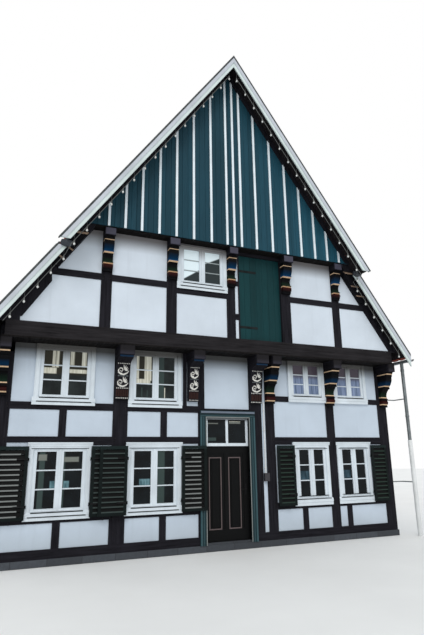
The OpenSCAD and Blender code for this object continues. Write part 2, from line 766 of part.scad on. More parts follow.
// Rafters stand on the wall plates, and the end pairs on the gable beams
module rafter_pair() difference() {
    rafter_faces();
    rect(-ridge_board_t / 2, ridge_board_t / 2, 0, apex_z);
    both_slopes() rect(inner_side_x, side_x, 0, gable_beam_z + plate_h);
}
module end_rafter_pair(z) difference() {
    rafter_faces();
    rect(-ridge_board_t / 2, ridge_board_t / 2, 0, apex_z);
    rect(-2 * side_x, 2 * side_x, 0, z);
}
module rafters() color("#2b282d") {
    first = attic_y;
    last = rear_y - rafter_w;
    step = (last - first) / (rafter_count - 1);
    for (i = [1:rafter_count - 2]) stand(first + i * step, rafter_w) rafter_pair();
    for (y = [first, last]) stand(y, rafter_w) end_rafter_pair(gable_z);
    stand(top_y, rafter_w) end_rafter_pair(cladding_z);
    // Beam ends that carry the foremost pair
    stand(top_y, jetty_top) intersection() {
        rafter_faces();
        rect(-side_x, side_x, top_beam_z, cladding_z);
    }
}
module roof_purlins() color("#2b282d") {
    stand(top_y, rear_y - top_y) difference() {
        upright(0, ridge_board_t, roof_z(0, roof_drop) - ridge_board_h, apex_z);
        both_slopes() slope_strip(0, eave_x, -100, under_roof);
    }
    for (s = [-1, 1]) translate([s > 0 ? inner_side_x : -side_x, attic_y + wall_t, gable_beam_z])
        cube([wall_t, rear_y - attic_y - 2 * wall_t, plate_h]);
}

module cladding_face() gable_field(cladding_z - cladding_drop, apex_z - under_roof - 1, under_roof);
module gable_cladding() color("#23485a") {
    stand(top_y - cladding_t, cladding_t) cladding_face();
    stand(rear_y, cladding_t) cladding_face();
}
module batten_faces() intersection() {
    for (side = [-1, 1], i = [0:len(batten_gaps)])
        upright(batten_shift + side * total(batten_gaps, i), batten_w, cladding_z - cladding_drop, apex_z);
    gable_field(cladding_z - cladding_drop, apex_z - rake_drop - seat_drop - 1, rake_drop + seat_drop);
}
rake_drop = roof_drop + rake_w / cos(roof_pitch);
module cladding_battens() color("#dfe9ee") {
    stand(top_y - cladding_t - batten_t, batten_t) batten_faces();
    stand(rear_y + cladding_t, batten_t) batten_faces();
}
module rake_faces() difference() {
    both_slopes() slope_strip(mitre, eave_x, under_roof, rake_drop);
    rect(-2 * side_x, 2 * side_x, 0, cladding_z - cladding_drop);
}
module rake_strips() color("#232327") {
    stand(top_y - cladding_t - rake_t, rake_t) rake_faces();
    stand(rear_y + cladding_t, rake_t) rake_faces();
}

barge_drop = barge_w / cos(roof_pitch);
trim_drop = trim_h / cos(roof_pitch);
// The parts of an outline above and below the level step of the left or the right verge
step_z = [step_left, step_right];
module above_step(side) on_slope(side) intersection() {
    children();
    rect(0, side_x, step_z[side], 2 * apex_z);
}
module below_step(side) on_slope(side) intersection() {
    children();
    rect(0, 2 * side_x, 0, step_z[side]);
}
module bargeboards() color("#c8d4d7") {
    for (side = [0, 1]) {
        stand(top_verge_y - barge_t, barge_t) above_step(side) slope_strip(mitre, eave_x, 0, barge_drop);
        stand(low_verge_y - barge_t, barge_t) below_step(side) slope_strip(mitre, eave_x, 0, barge_drop);
    }
    stand(rear_verge_y, barge_t) both_slopes() slope_strip(mitre, eave_x, 0, barge_drop);
}
module verge_trims() color("#5f6464") {
    for (side = [0, 1]) {
        stand(top_verge_y - barge_t - 15, trim_w) above_step(side) slope_strip(mitre, eave_x, -trim_drop, -seat_drop);
        stand(low_verge_y - barge_t - 15, trim_w) below_step(side) slope_strip(mitre, eave_x, -trim_drop, -seat_drop);
    }
    stand(rear_verge_y + barge_t + 15 - trim_w, trim_w) both_slopes() slope_strip(mitre, eave_x, -trim_drop, -seat_drop);
}

module roof_slope(side) {
    stand(low_verge_y, rear_verge_y - low_verge_y) on_slope(side) slope_strip(0, eave_x, 0, roof_drop);
    stand(top_verge_y, low_verge_y - top_verge_y - seat) above_step(side) slope_strip(0, eave_x, 0, roof_drop);
}
module roof_right() color("#a5432f") roof_slope(1);
module roof_left() color("#a5432f") roof_slope(0);
module ridge_tiles() color("#98402e")
    stand(top_verge_y + ridge_set, rear_verge_y - top_verge_y - 2 * ridge_set) difference() {
        translate([0, apex_z - ridge_r * 0.45]) circle(r = ridge_r, $fn = 48);
        polygon([[-eave_x, roof_z(eave_x, -seat_drop)], [0, apex_z + seat_drop], [eave_x, roof_z(eave_x, -seat_drop)]]);
    }

gutter_x = eave_x + gutter_r;
gutter_z = roof_z(eave_x, 0) - gutter_drop;
module gutters() color("#7d8284") for (s = [-1, 1])
    stand(low_verge_y, rear_verge_y - low_verge_y) difference() {
        translate([s * gutter_x, gutter_z]) circle(r = gutter_r, $fn = 48);
        translate([s * gutter_x, gutter_z]) circle(r = gutter_r - gutter_wall, $fn = 48);
        upright(s * gutter_x, 4 * gutter_r, gutter_z, gutter_z + 2 * gutter_r);
    }
module downpipes() color("#8b9092") for (s = [-1, 1]) {
    difference() {
        translate([s * gutter_x, front_y - downpipe_y, 0]) cylinder(r = downpipe_r, h = gutter_z);
        translate([s * gutter_x, front_y - downpipe_y - 2 * downpipe_r, gutter_z]) rotate([-90, 0, 0])
            cylinder(r = gutter_r, h = 4 * downpipe_r, $fn = 48);
    }
    // Irons that run out from the corner post and forward to the pipe
    for (z = bracket_z) {
        translate([s > 0 ? side_x : -gutter_x - bracket_h / 2, front_y + bracket_y, z])
            cube([gutter_x + bracket_h / 2 - side_x, bracket_h, bracket_h]);
        translate([s * gutter_x - bracket_h / 2, front_y - downpipe_y, z])
            cube([bracket_h, downpipe_y + bracket_y + bracket_h, bracket_h]);
    }
}

function pane_w(w) = (w[1] - 2 * casing_w - 4 * stile_w) / 2;
// The two panes of a window, as a cut through its sashes or as glass
module panes(w, t) for (s = [0, 1])
    translate([w[0] - w[1] / 2 + casing_w + stile_w + s * (pane_w(w) + 2 * stile_w), 0, w[2] + w[4] + sash_rail])
        cube([pane_w(w), t, w[3] - w[2] - w[4] - w[5] - 2 * sash_rail]);
module window_frame(w) difference() {
    translate([w[0] - w[1] / 2, -casing_out, w[2]]) cube([w[1], casing_out + frame_in, w[3] - w[2]]);
    translate([w[0] - w[1] / 2 + casing_w, -casing_out - 1, w[2] + w[4]])
        cube([w[1] - 2 * casing_w, sash_set + 1, w[3] - w[2] - w[4] - w[5]]);
    translate([w[0] - w[1] / 2 + casing_w, sash_set + sash_t - casing_out, w[2] + w[4]])
        cube([w[1] - 2 * casing_w, frame_in, w[3] - w[2] - w[4] - w[5]]);
    translate([0, -casing_out, 0]) panes(w, casing_out + frame_in);
}
module window_glazing(w) translate([0, sash_set + sash_t / 2 - casing_out, 0]) panes(w, glass_t);

// Puts a window's pieces in the front, gable, rear and side walls
module each_front_window() {
    for (w = WALL_WINDOWS) translate([0, front_y, 0]) { $w = w; children(); }
    for (w = GABLE_WINDOWS) translate([0, attic_y, 0]) { $w = w; children(); }
}
module each_other_window() {
    for (w = concat(WALL_WINDOWS, GABLE_WINDOWS))
        translate([0, rear_y, 0]) mirror([0, 1, 0]) { $w = w; children(); }
    on_sides() for (w = SIDE_WINDOWS) translate([0, -side_x, 0]) { $w = w; children(); }
}
module window_frames() color("#e8edf0") {
    each_front_window() window_frame($w);
    each_other_window() window_frame($w);
}
module window_glass() color("#2a343a") {
    each_front_window() window_glazing($w);
    each_other_window() window_glazing($w);
    translate([door_left + jamb_w + fanlight_w, front_y + door_frame_set + sash_t / 2, transom_z + transom_h + fanlight_w])
        for (s = [0, 1]) translate([s * (fan_pane_w + fanlight_w), 0, 0]) cube([fan_pane_w, glass_t, fan_pane_h]);
}
// A sill is a thick board with a thinner, wider nosing under it
module window_sill(w) translate([w[0], 0, w[2] + w[4] - window_sill_h]) {
    half = w[1] / 2 + w[6];
    rotate([90, 0, -90]) translate([0, 0, -half]) linear_extrude(2 * half)
        polygon([[casing_out, 0], [window_sill_out - 10, 0], [window_sill_out - 10, window_sill_h * 0.4],
            [window_sill_out, window_sill_h * 0.45], [window_sill_out, window_sill_h * 0.8],
            [casing_out, window_sill_h]]);
}
module window_sills() color("#e8edf0") {
    each_front_window() window_sill($w);
    each_other_window() window_sill($w);
}
module window_head(w) translate([w[0], 0, w[3] - window_head_h]) {
    half = w[1] / 2 + trim_past;
    rotate([90, 0, -90]) translate([0, 0, -half]) linear_extrude(2 * half)
        polygon(concat([[casing_out, 0]],
            bow([casing_out + 6, 0], [window_sill_out, window_head_h * 0.7], -4),
            [[window_sill_out, window_head_h], [casing_out, window_head_h]]));
}
module window_heads() color("#e8edf0") for (w = LOWER_WINDOWS) {
    translate([0, front_y, 0]) window_head(w);
    translate([0, rear_y, 0]) mirror([0, 1, 0]) window_head(w);
}

doorway_w = door_right - door_left;
fan_pane_w = (doorway_w - 2 * jamb_w - 3 * fanlight_w) / 2;
fan_pane_h = lintel_z - transom_z - transom_h - 2 * fanlight_w;
module door_surround() color("#3f5c60") for (x = [door_left - surround_w + jamb_w, door_right - jamb_w])
    translate([x, front_y - surround_out, plinth_h]) cube([surround_w, surround_out, surround_z - surround_head_h - plinth_h]);
module door_head() color("#3f5c60") {
    half = doorway_w / 2 - jamb_w + surround_w;
    translate([(door_left + door_right) / 2, front_y, surround_z - surround_head_h])
        rotate([90, 0, -90]) translate([0, 0, -half]) linear_extrude(2 * half)
            polygon(concat([[0, 0], [surround_out, 0], [surround_out, surround_head_h * 0.6]],
                bow([surround_out, surround_head_h * 0.6], [surround_out + 22, surround_head_h * 0.85], -3),
                [[surround_out + 22, surround_head_h], [0, surround_head_h]]));
}
module door_frame() color("#30363a") {
    for (x = [door_left, door_right - jamb_w])
        translate([x, front_y + door_frame_set, door_z]) cube([jamb_w, door_frame_t, lintel_z - door_z]);
}
module fanlight() color("#e8edf0") {
    translate([door_left + jamb_w, front_y + door_frame_set, transom_z])
        difference() {
            cube([doorway_w - 2 * jamb_w, sash_t + 20, lintel_z - transom_z]);
            for (s = [0, 1]) translate([fanlight_w + s * (fan_pane_w + fanlight_w), -1, transom_h + fanlight_w])
                cube([fan_pane_w, sash_t + 22, fan_pane_h]);
        }
}
leaf_x0 = door_left + jamb_w + leaf_gap;
leaf_x1 = door_right - jamb_w - leaf_gap;
leaf_y = front_y + door_frame_set + 30;
leaf_z0 = door_z + leaf_gap;
leaf_z1 = transom_z - leaf_gap;
leaf_panel_w = (leaf_x1 - leaf_x0) * 0.33;
leaf_panel_h = leaf_z1 - leaf_z0 - leaf_foot_h - leaf_head_h;
// Turning axis of the door, at the inner corner of the leaf
door_axis_x = leaf_x0 + eye_r + 2;
door_axis_y = leaf_y + leaf_t + eye_r + 1;
door_hinge_z = [leaf_z0 + door_hinge_end, leaf_z1 - door_hinge_end];
module door_leaf() color("#2a211f") {
    difference() {
        translate([leaf_x0, leaf_y, leaf_z0]) cube([leaf_x1 - leaf_x0, leaf_t, leaf_z1 - leaf_z0]);
        for (s = [-1, 1]) translate([(leaf_x0 + leaf_x1) / 2 + s * leaf_panel_w * 0.68 - leaf_panel_w / 2,
                leaf_y - 1, leaf_z0 + leaf_foot_h])
            difference() {
                cube([leaf_panel_w, panel_sink + 1, leaf_panel_h]);
                translate([panel_edge, panel_sink - 5, panel_edge])
                    cube([leaf_panel_w - 2 * panel_edge, 10, leaf_panel_h - 2 * panel_edge]);
            }
    }
    for (z = door_hinge_z) difference() {
        union() {
            translate([door_axis_x, door_axis_y, z]) cylinder(r = eye_r, h = eye_h);
            translate([door_axis_x, leaf_y + leaf_t, z]) cube([90, strap_t, eye_h]);
            translate([door_axis_x, leaf_y + leaf_t, z]) cube([eye_r - 1, eye_r, eye_h]);
        }
        translate([door_axis_x, door_axis_y, z - 1]) cylinder(r = pin_r + pin_gap, h = eye_h + 2);
    }
}
module door_handle() color("#4a4a4a") {
    hx = leaf_x1 - 70;
    for (s = [-1, 1]) {
        face = s < 0 ? leaf_y : leaf_y + leaf_t;
        translate([hx - 20, s < 0 ? face - 5 : face, door_z + handle_z - handle_plate_h / 2]) cube([40, 5, handle_plate_h]);
        translate([hx, face + s * 5, door_z + handle_z]) rotate([s * -90, 0, 0]) cylinder(r = 9, h = 42);
        translate([hx - 118, s < 0 ? face - 62 : face + 46, door_z + handle_z - 9]) cube([128, 16, 18]);
    }
}

// Shutters as window, side of the window, and how many leaves it stands out over
SHUTTERS = [[0, -1, 0], [0, 1, 0], [1, -1, 1], [1, 1, 0], [2, -1, 0], [3, 1, 0]];
shutter_h = rail_2_z - shutter_top_gap - shutter_z;
function shutter_window(i) = LOWER_WINDOWS[SHUTTERS[i][0]];
function axis_x(i) = let (w = shutter_window(i), s = SHUTTERS[i][1]) w[0] + s * (w[1] / 2 - hinge_in);
function axis_y(i) = front_y - window_sill_out - shutter_clear - shutter_t / 2
    - SHUTTERS[i][2] * (shutter_t + 2 * shutter_clear);
function leaf_w(i) = shutter_window(i)[1] / 2 - hinge_in - hinge_edge - shutter_clear / 2;
HINGE_Z = [shutter_z + hinge_end, shutter_z + shutter_h - hinge_end - eye_h];
module louvres(w) {
    inner_h = shutter_h - 2 * shutter_stile;
    count = floor(inner_h / louvre_pitch);
    gap = inner_h / count;
    // Each louvre ends just behind the leaf's two faces at its tilt
    slat_w = (shutter_t - 2 * louvre_set - louvre_t * sin(louvre_tilt)) / cos(louvre_tilt);
    for (k = [0:count - 1]) translate([shutter_stile - 1, 0, shutter_stile + (k + 0.5) * gap])
        rotate([louvre_tilt, 0, 0]) translate([0, -slat_w / 2, -louvre_t / 2]) cube([w - 2 * shutter_stile + 2, slat_w, louvre_t]);
}
// A leaf drawn open: it lies against the wall, away from its window
module shutter(i) {
    s = SHUTTERS[i][1];
    w = leaf_w(i);
    translate([axis_x(i), axis_y(i), 0]) mirror([s < 0 ? 1 : 0, 0, 0]) {
        translate([hinge_edge, 0, shutter_z]) {
            difference() {
                translate([0, -shutter_t / 2, 0]) cube([w, shutter_t, shutter_h]);
                translate([shutter_stile, -shutter_t, shutter_stile])
                    cube([w - 2 * shutter_stile, 2 * shutter_t, shutter_h - 2 * shutter_stile]);
            }
            louvres(w);
        }
        for (z = HINGE_Z) difference() {
            union() {
                translate([0, 0, z]) cylinder(r = eye_r, h = eye_h);
                translate([0, -strap_t / 2, z]) cube([hinge_edge + strap_l * 0.3, strap_t, eye_h]);
                translate([hinge_edge, -shutter_t / 2 - strap_t, z + 5]) cube([strap_l, strap_t + 1, eye_h - 10]);
            }
            translate([0, 0, z - 1]) cylinder(r = pin_r + pin_gap, h = eye_h + 2);
        }
    }
}
module shutter_1() color("#1e2d2a") shutter(0);
module shutter_2() color("#1e2d2a") shutter(1);
module shutter_3() color("#1e2d2a") shutter(2);
module shutter_4() color("#1e2d2a") shutter(3);
module shutter_5() color("#1e2d2a") shutter(4);
module shutter_6() color("#1e2d2a") shutter(5);

// Pins with an arm below the eye, fixed to the casings and to the door frame
module hinge_pintles() color("#2c2c2c") {
    for (i = [0:5]) for (z = HINGE_Z) {
        translate([axis_x(i), axis_y(i), z - 14]) cylinder(r = pin_r, h = eye_h + 14 + 4);
        translate([axis_x(i) - 7, axis_y(i), z - 15]) cube([14, front_y - casing_out - axis_y(i), 14]);
        translate([axis_x(i), axis_y(i), z - 15]) cylinder(r = 7, h = 14);
    }
    for (z = door_hinge_z) {
        translate([door_axis_x, door_axis_y, z - 14]) cylinder(r = pin_r, h = eye_h + 14 + 4);
        translate([door_left + jamb_w, door_axis_y - 7, z - 15]) cube([door_axis_x - door_left - jamb_w, 14, 14]);
        translate([door_axis_x, door_axis_y, z - 15]) cylinder(r = 7, h = 14);
    }
}

conduit_x = (post_x[2] + post_w[2] / 2 + post_x[3] - post_w[3] / 2) / 2;
module wall_conduit() color("#d9d9d6") {
    translate([conduit_x, front_y - conduit_r, conduit_box_z + 100]) cylinder(r = conduit_r, h = conduit_top - conduit_box_z - 100);
    translate([conduit_x - 45, front_y - 60, conduit_box_z]) cube([120, 60, 170]);
}

plinth();
ground_floor();
sills();
front_posts();
front_rails();
front_infill();
side_posts();
side_rails();
side_infill();
rear_posts();
rear_rails();
rear_infill();
plank_floors();
floor_beams();
painted_consoles();
carved_consoles();
gable_beams();
gable_posts();
gable_rails();
gable_infill();
loft_door();
rafters();
roof_purlins();
gable_cladding();
cladding_battens();
rake_strips();
bargeboards();
verge_trims();
roof_left();
roof_right();
ridge_tiles();
gutters();
downpipes();
window_frames();
window_glass();
window_sills();
window_heads();
door_surround();
door_head();
door_frame();
fanlight();
door_leaf();
door_handle();
hinge_pintles();
shutter_1();
shutter_2();
shutter_3();
shutter_4();
shutter_5();
shutter_6();
wall_conduit();
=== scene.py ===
# Dresses the half timbered house: tiles, boards, paint, ironwork and the stage around it.
# Everything is in metres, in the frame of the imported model. The front faces -Y.

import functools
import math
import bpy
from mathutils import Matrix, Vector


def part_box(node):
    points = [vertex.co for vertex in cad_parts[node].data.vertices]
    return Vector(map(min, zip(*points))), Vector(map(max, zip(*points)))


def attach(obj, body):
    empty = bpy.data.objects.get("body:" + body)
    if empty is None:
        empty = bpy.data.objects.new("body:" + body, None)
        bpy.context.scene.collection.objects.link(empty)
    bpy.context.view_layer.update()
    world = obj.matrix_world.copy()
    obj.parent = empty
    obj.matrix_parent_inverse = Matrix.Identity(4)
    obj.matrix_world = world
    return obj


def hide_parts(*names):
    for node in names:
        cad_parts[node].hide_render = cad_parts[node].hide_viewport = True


bl_info = {
    "name": "Half timbered house",
    "version": (1, 0, 0),
    "blender": (4, 5, 0),
    "location": "3D Viewport > Sidebar > House",
    "description": "Dresses a half timbered house and sets its stage",
    "category": "Object",
}

import bmesh
import bpy
from mathutils import Matrix, Vector

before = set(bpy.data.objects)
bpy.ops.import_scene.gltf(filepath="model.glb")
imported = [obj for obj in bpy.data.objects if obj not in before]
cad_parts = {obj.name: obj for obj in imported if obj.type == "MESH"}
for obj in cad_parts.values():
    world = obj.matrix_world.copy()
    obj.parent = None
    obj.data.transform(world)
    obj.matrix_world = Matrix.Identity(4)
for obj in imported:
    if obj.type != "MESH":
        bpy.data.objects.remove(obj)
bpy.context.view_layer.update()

FRONT_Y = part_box("front_posts")[0].y
REAR_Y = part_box("rear_posts")[1].y
ATTIC_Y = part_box("gable_posts")[0].y
TOP_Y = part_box("floor_beams")[0].y
APEX_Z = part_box("roof_right")[1].z
EAVE_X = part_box("roof_right")[1].x
ROOF_FRONT_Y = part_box("roof_right")[0].y
ROOF_REAR_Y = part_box("roof_right")[1].y
LOW_VERGE_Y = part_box("gutters")[0].y
PITCH = math.radians(55)
# The consoles farther out than this stand on the end rafters
LAST_POST_X = 3.06
# Between the lower and the upper jetty's consoles
BETWEEN_CONSOLES_Z = 4.5


# Boxes of a node's separate solids

def solids(node):
    """The lowest and highest corner of each separate solid in a CAD node, from left to right."""
    mesh = bmesh.new()
    mesh.from_mesh(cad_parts[node].data)
    bmesh.ops.remove_doubles(mesh, verts=mesh.verts, dist=1e-5)
    mesh.verts.index_update()
    done = set()
    boxes = []
    for start in mesh.verts:
        if start.index in done:
            continue
        done.add(start.index)
        waiting = [start]
        points = []
        while waiting:
            vertex = waiting.pop()
            points.append(vertex.co.copy())
            for edge in vertex.link_edges:
                other = edge.other_vert(vertex)
                if other.index not in done:
                    done.add(other.index)
                    waiting.append(other)
        low = Vector(min(p[i] for p in points) for i in range(3))
        high = Vector(max(p[i] for p in points) for i in range(3))
        boxes.append((low, high))
    mesh.free()
    return sorted(boxes, key=lambda box: (round(box[0].x, 3), box[0].z, box[0].y))


def step_height(side):
    """Where the upper verge ends: the lowest corner of the roof in front of the lower verge."""
    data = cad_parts["roof_right" if side > 0 else "roof_left"].data
    return min(corner.co.z for corner in data.vertices if corner.co.y < LOW_VERGE_Y - 0.1)


# Small tools for nodes, for materials and geometry alike

def add(tree, kind, inputs=None, **settings):
    """Adds a node, sets its settings and gives its inputs values or links."""
    node = tree.nodes.new(kind)
    for key, value in settings.items():
        setattr(node, key, value)
    for key, value in (inputs or {}).items():
        if isinstance(value, bpy.types.NodeSocket):
            tree.links.new(value, node.inputs[key])
        else:
            node.inputs[key].default_value = value
    return node


def maths(tree, operation, *values):
    """One of the Math node's operations on values or links."""
    return add(tree, "ShaderNodeMath", dict(enumerate(values)), operation=operation).outputs[0]


def start_material(name, roughness, **sockets):
    """A material with its tree and its shader."""
    material = bpy.data.materials.new(name)
    material.use_nodes = True
    tree = material.node_tree
    shader = tree.nodes["Principled BSDF"]
    shader.inputs["Roughness"].default_value = roughness
    for key, value in sockets.items():
        shader.inputs[key.replace("_", " ")].default_value = value
    return material, tree, shader


def place_on(tree, scale=(1, 1, 1)):
    """Object coordinates, scaled along each axis."""
    coords = add(tree, "ShaderNodeTexCoord")
    mapping = add(tree, "ShaderNodeMapping", {"Vector": coords.outputs["Object"], "Scale": scale})
    return mapping.outputs["Vector"]


def noise(tree, vector, scale, detail, rough=0.55):
    """A noise from 0 to 1; a larger scale makes finer spots."""
    return add(tree, "ShaderNodeTexNoise", {"Vector": vector, "Scale": scale, "Detail": detail,
                                            "Roughness": rough}).outputs["Fac"]


def spread(tree, value, low, high, to_low=0.0, to_high=1.0):
    """Stretches a value from low..high to to_low..to_high and holds it there."""
    return add(tree, "ShaderNodeMapRange", {"Value": value, "From Min": low, "From Max": high,
                                            "To Min": to_low, "To Max": to_high}).outputs["Result"]


def mix(tree, factor, first, second, blend="MIX"):
    """The first colour where the factor is 0 and the second where it is 1; each is a value or a link."""
    node = add(tree, "ShaderNodeMix", data_type="RGBA", blend_type=blend)
    for index, value in ((0, factor), (6, first), (7, second)):
        if isinstance(value, bpy.types.NodeSocket):
            tree.links.new(value, node.inputs[index])
        else:
            node.inputs[index].default_value = value if index == 0 else (*value[:3], 1.0)
    return node.outputs[2]


def stain(tree, tone, other, value, low, high, most=1.0):
    """Lays another colour over a tone: none of it where a value is under low, most of it from high on."""
    return mix(tree, spread(tree, value, low, high, 0.0, most), tone, other)


def coat(tree, shader, tone, relief, strength, depth):
    """Gives a material its colour and its fine relief."""
    tree.links.new(tone, shader.inputs["Base Color"])
    node = add(tree, "ShaderNodeBump", {"Height": relief, "Strength": strength, "Distance": depth})
    tree.links.new(node.outputs["Normal"], shader.inputs["Normal"])


def heights(tree):
    """Object X, Y and Z as separate values."""
    coords = add(tree, "ShaderNodeTexCoord")
    return add(tree, "ShaderNodeSeparateXYZ", {"Vector": coords.outputs["Object"]}).outputs


def shade(colour, by):
    """A darker or lighter shade of a colour."""
    return tuple(channel * by for channel in colour[:3])


# Finishes

GRAIN = {"x": (0.06, 1, 1), "y": (1, 0.06, 1), "z": (1, 1, 0.06)}


def timber(name, colour, along):
    """Weathered dark oak with long streaks and fine cracks along the grain."""
    material, tree, shader = start_material(name, 0.78, Specular_IOR_Level=0.08)
    grain = place_on(tree, GRAIN[along])
    streaks = noise(tree, grain, 26.0, 6.0, 0.62)
    weather = noise(tree, place_on(tree), 1.3, 3.0)
    tone = mix(tree, spread(tree, streaks, 0.35, 0.7), shade(colour, 0.62), shade(colour, 1.55))
    tone = stain(tree, tone, shade(colour, 1.7), weather, 0.42, 0.7, 0.4)
    cracks = noise(tree, grain, 75.0, 2.0, 0.5)
    tone = stain(tree, tone, shade(colour, 0.3), cracks, 0.66, 0.74)
    tree.links.new(spread(tree, streaks, 0.3, 0.7, 0.88, 0.62), shader.inputs["Roughness"])
    coat(tree, shader, tone, streaks, 0.55, 0.006)
    return material


def plaster(name, colour):
    """Limewashed infill: even colour, faint clouds, fine trowel marks and a darker splash zone, with painted
    shade on the storeys under the first jetty and right under both jetties.
    """
    material, tree, shader = start_material(name, 0.9)
    clouds = noise(tree, place_on(tree), 1.1, 5.0)
    fine = noise(tree, place_on(tree), 38.0, 5.0, 0.6)
    tone = mix(tree, spread(tree, clouds, 0.38, 0.68), shade(colour, 1.03), shade(colour, 0.93))
    tone = stain(tree, tone, shade(colour, 0.86), fine, 0.6, 0.75, 0.3)
    z = heights(tree)[2]
    splash = mix(tree, spread(tree, z, 0.25, 0.62, 0.28, 0.0), tone, (0.25, 0.27, 0.25))
    runs = noise(tree, place_on(tree, (1, 1, 0.08)), 9.0, 4.0)
    tone = mix(tree, spread(tree, runs, 0.6, 0.8, 0.0, 0.25), splash, shade(colour, 0.72))
    # The storeys under the first jetty are painted greyer: painted shade of the jetty
    tone = mix(tree, spread(tree, z, 3.95, 4.3, 1.0, 0.0), tone, (0.84, 0.87, 0.9), "MULTIPLY")
    coat(tree, shader, under_jetties(tree, tone), fine, 0.35, 0.004)
    return material


# The shade under each jetty: where it starts, where it is full, where it ends, and its tone
JETTY_SHADES = [(3.72, 3.96, 4.2, (0.14, 0.125, 0.11)), (6.06, 6.37, 6.45, (0.3, 0.26, 0.24))]


def under_jetties(tree, tone):
    """The brown shade that lies right under the two jetties."""
    _, y, z = heights(tree)
    on_wall = maths(tree, "GREATER_THAN", y, ATTIC_Y - 0.06)
    for foot, top, end, brown in JETTY_SHADES:
        depth = spread(tree, z, foot, top)
        below = maths(tree, "LESS_THAN", z, end)
        depth = maths(tree, "MULTIPLY", depth, below)
        depth = maths(tree, "MULTIPLY", depth, on_wall)
        tone = mix(tree, depth, tone, brown, "MULTIPLY")
    return tone


def paint(name, colour, along, roughness, wear_and_edge_sheen, shine=0.5, painted_shade_from=None):
    """Brushed paint on wood: faint brush lines and worn spots, with painted shade right under the jetties.
    It may carry painted shade from one height on.
    """
    material, tree, shader = start_material(name, roughness, Specular_IOR_Level=shine)
    grain = place_on(tree, GRAIN[along])
    brush = noise(tree, grain, 90.0, 3.0, 0.5)
    clouds = noise(tree, place_on(tree), 2.3, 4.0)
    tone = mix(tree, spread(tree, clouds, 0.35, 0.7), shade(colour, 0.9), shade(colour, 1.08))
    tone = stain(tree, tone, shade(colour, 0.78), brush, 0.4, 0.75, 0.35)
    spots = noise(tree, grain, 14.0, 6.0, 0.7)
    tone = stain(tree, tone, shade(colour, 0.45), spots, 0.68, 0.8, wear_and_edge_sheen)
    # Painted shade from a given height up
    if painted_shade_from:
        shadow = spread(tree, heights(tree)[2], painted_shade_from, painted_shade_from + 0.06)
        tone = mix(tree, shadow, tone, (0.25, 0.25, 0.25), "MULTIPLY")
    dull = spread(tree, clouds, 0.3, 0.7, roughness - 0.08, roughness + 0.14)
    tree.links.new(dull, shader.inputs["Roughness"])
    coat(tree, shader, under_jetties(tree, tone), brush, 0.25, 0.002)
    return material


def conduit_paint(name, colour):
    """White paint on the pipe and dark paint on the box at its foot."""
    material = paint(name, colour, "z", 0.5, 0.1)
    tree = material.node_tree
    base = tree.nodes["Principled BSDF"].inputs["Base Color"]
    box_top = 1.5
    in_box = maths(tree, "LESS_THAN", heights(tree)[2], box_top + 0.001)
    tree.links.new(mix(tree, in_box, base.links[0].from_socket, seen(46, 44, 50)), base)
    return material


def louvre_paint(name, colour):
    """Dark shutter paint; the leaning faces of the louvres are painted near black as painted shade, and the
    top rail is painted lighter.
    """
    material, tree, shader = start_material(name, 0.5, Specular_IOR_Level=0.1)
    clouds = noise(tree, place_on(tree), 5.0, 4.0)
    tone = mix(tree, spread(tree, clouds, 0.35, 0.7), shade(colour, 0.8), shade(colour, 1.35))
    lean = add(tree, "ShaderNodeNewGeometry").outputs["True Normal"]
    lean = add(tree, "ShaderNodeSeparateXYZ", {"Vector": lean}).outputs[2]
    lean = maths(tree, "ABSOLUTE", lean)
    steep = spread(tree, lean, 0.08, 0.12)
    level = spread(tree, lean, 0.9, 0.95)
    slat_shade = maths(tree, "SUBTRACT", steep, level)
    # Painted shade on the leaning faces of the louvres
    tone = mix(tree, slat_shade, tone, (0.0012, 0.0016, 0.0018))
    tone = stain(tree, tone, shade(colour, 2.2), heights(tree)[2], 2.01, 2.03)
    coat(tree, shader, tone, clouds, 0.2, 0.003)
    return material


def board_paint(name, colour, width, lighter=(1.0, 1.0, 1.0)):
    """Paint that differs a little from board to board across X and may get lighter to the right."""
    material, tree, shader = start_material(name, 0.5, Specular_IOR_Level=0.12)
    x = heights(tree)[0]
    index = maths(tree, "DIVIDE", x, width)
    index = maths(tree, "FLOOR", index)
    tone = add(tree, "ShaderNodeTexWhiteNoise", {"W": index}, noise_dimensions="1D").outputs["Value"]
    colours = mix(tree, tone, shade(colour, 0.84), shade(colour, 1.16))
    grain = noise(tree, place_on(tree, GRAIN["z"]), 60.0, 5.0, 0.6)
    colours = stain(tree, colours, shade(colour, 0.66), grain, 0.42, 0.72, 0.5)
    bleach = noise(tree, place_on(tree, (1, 1, 0.3)), 1.6, 4.0)
    colours = stain(tree, colours, shade(colour, 1.5), bleach, 0.5, 0.78, 0.4)
    colours = mix(tree, spread(tree, x, 0.3, 2.9), colours, lighter, "MULTIPLY")
    coat(tree, shader, colours, grain, 0.4, 0.003)
    return material


def metal(name, colour, roughness, metallic):
    """Weathered sheet metal with dull patches and runs."""
    material, tree, shader = start_material(name, roughness, Metallic=metallic, Specular_IOR_Level=0.2)
    patches = noise(tree, place_on(tree), 7.0, 5.0)
    runs = noise(tree, place_on(tree, (1, 1, 0.1)), 22.0, 4.0)
    tone = mix(tree, spread(tree, patches, 0.35, 0.7), shade(colour, 0.8), shade(colour, 1.2))
    tone = stain(tree, tone, shade(colour, 0.55), runs, 0.55, 0.8, 0.5)
    dull = spread(tree, patches, 0.3, 0.7, roughness + 0.15, roughness - 0.1)
    tree.links.new(dull, shader.inputs["Roughness"])
    coat(tree, shader, tone, patches, 0.15, 0.003)
    return material


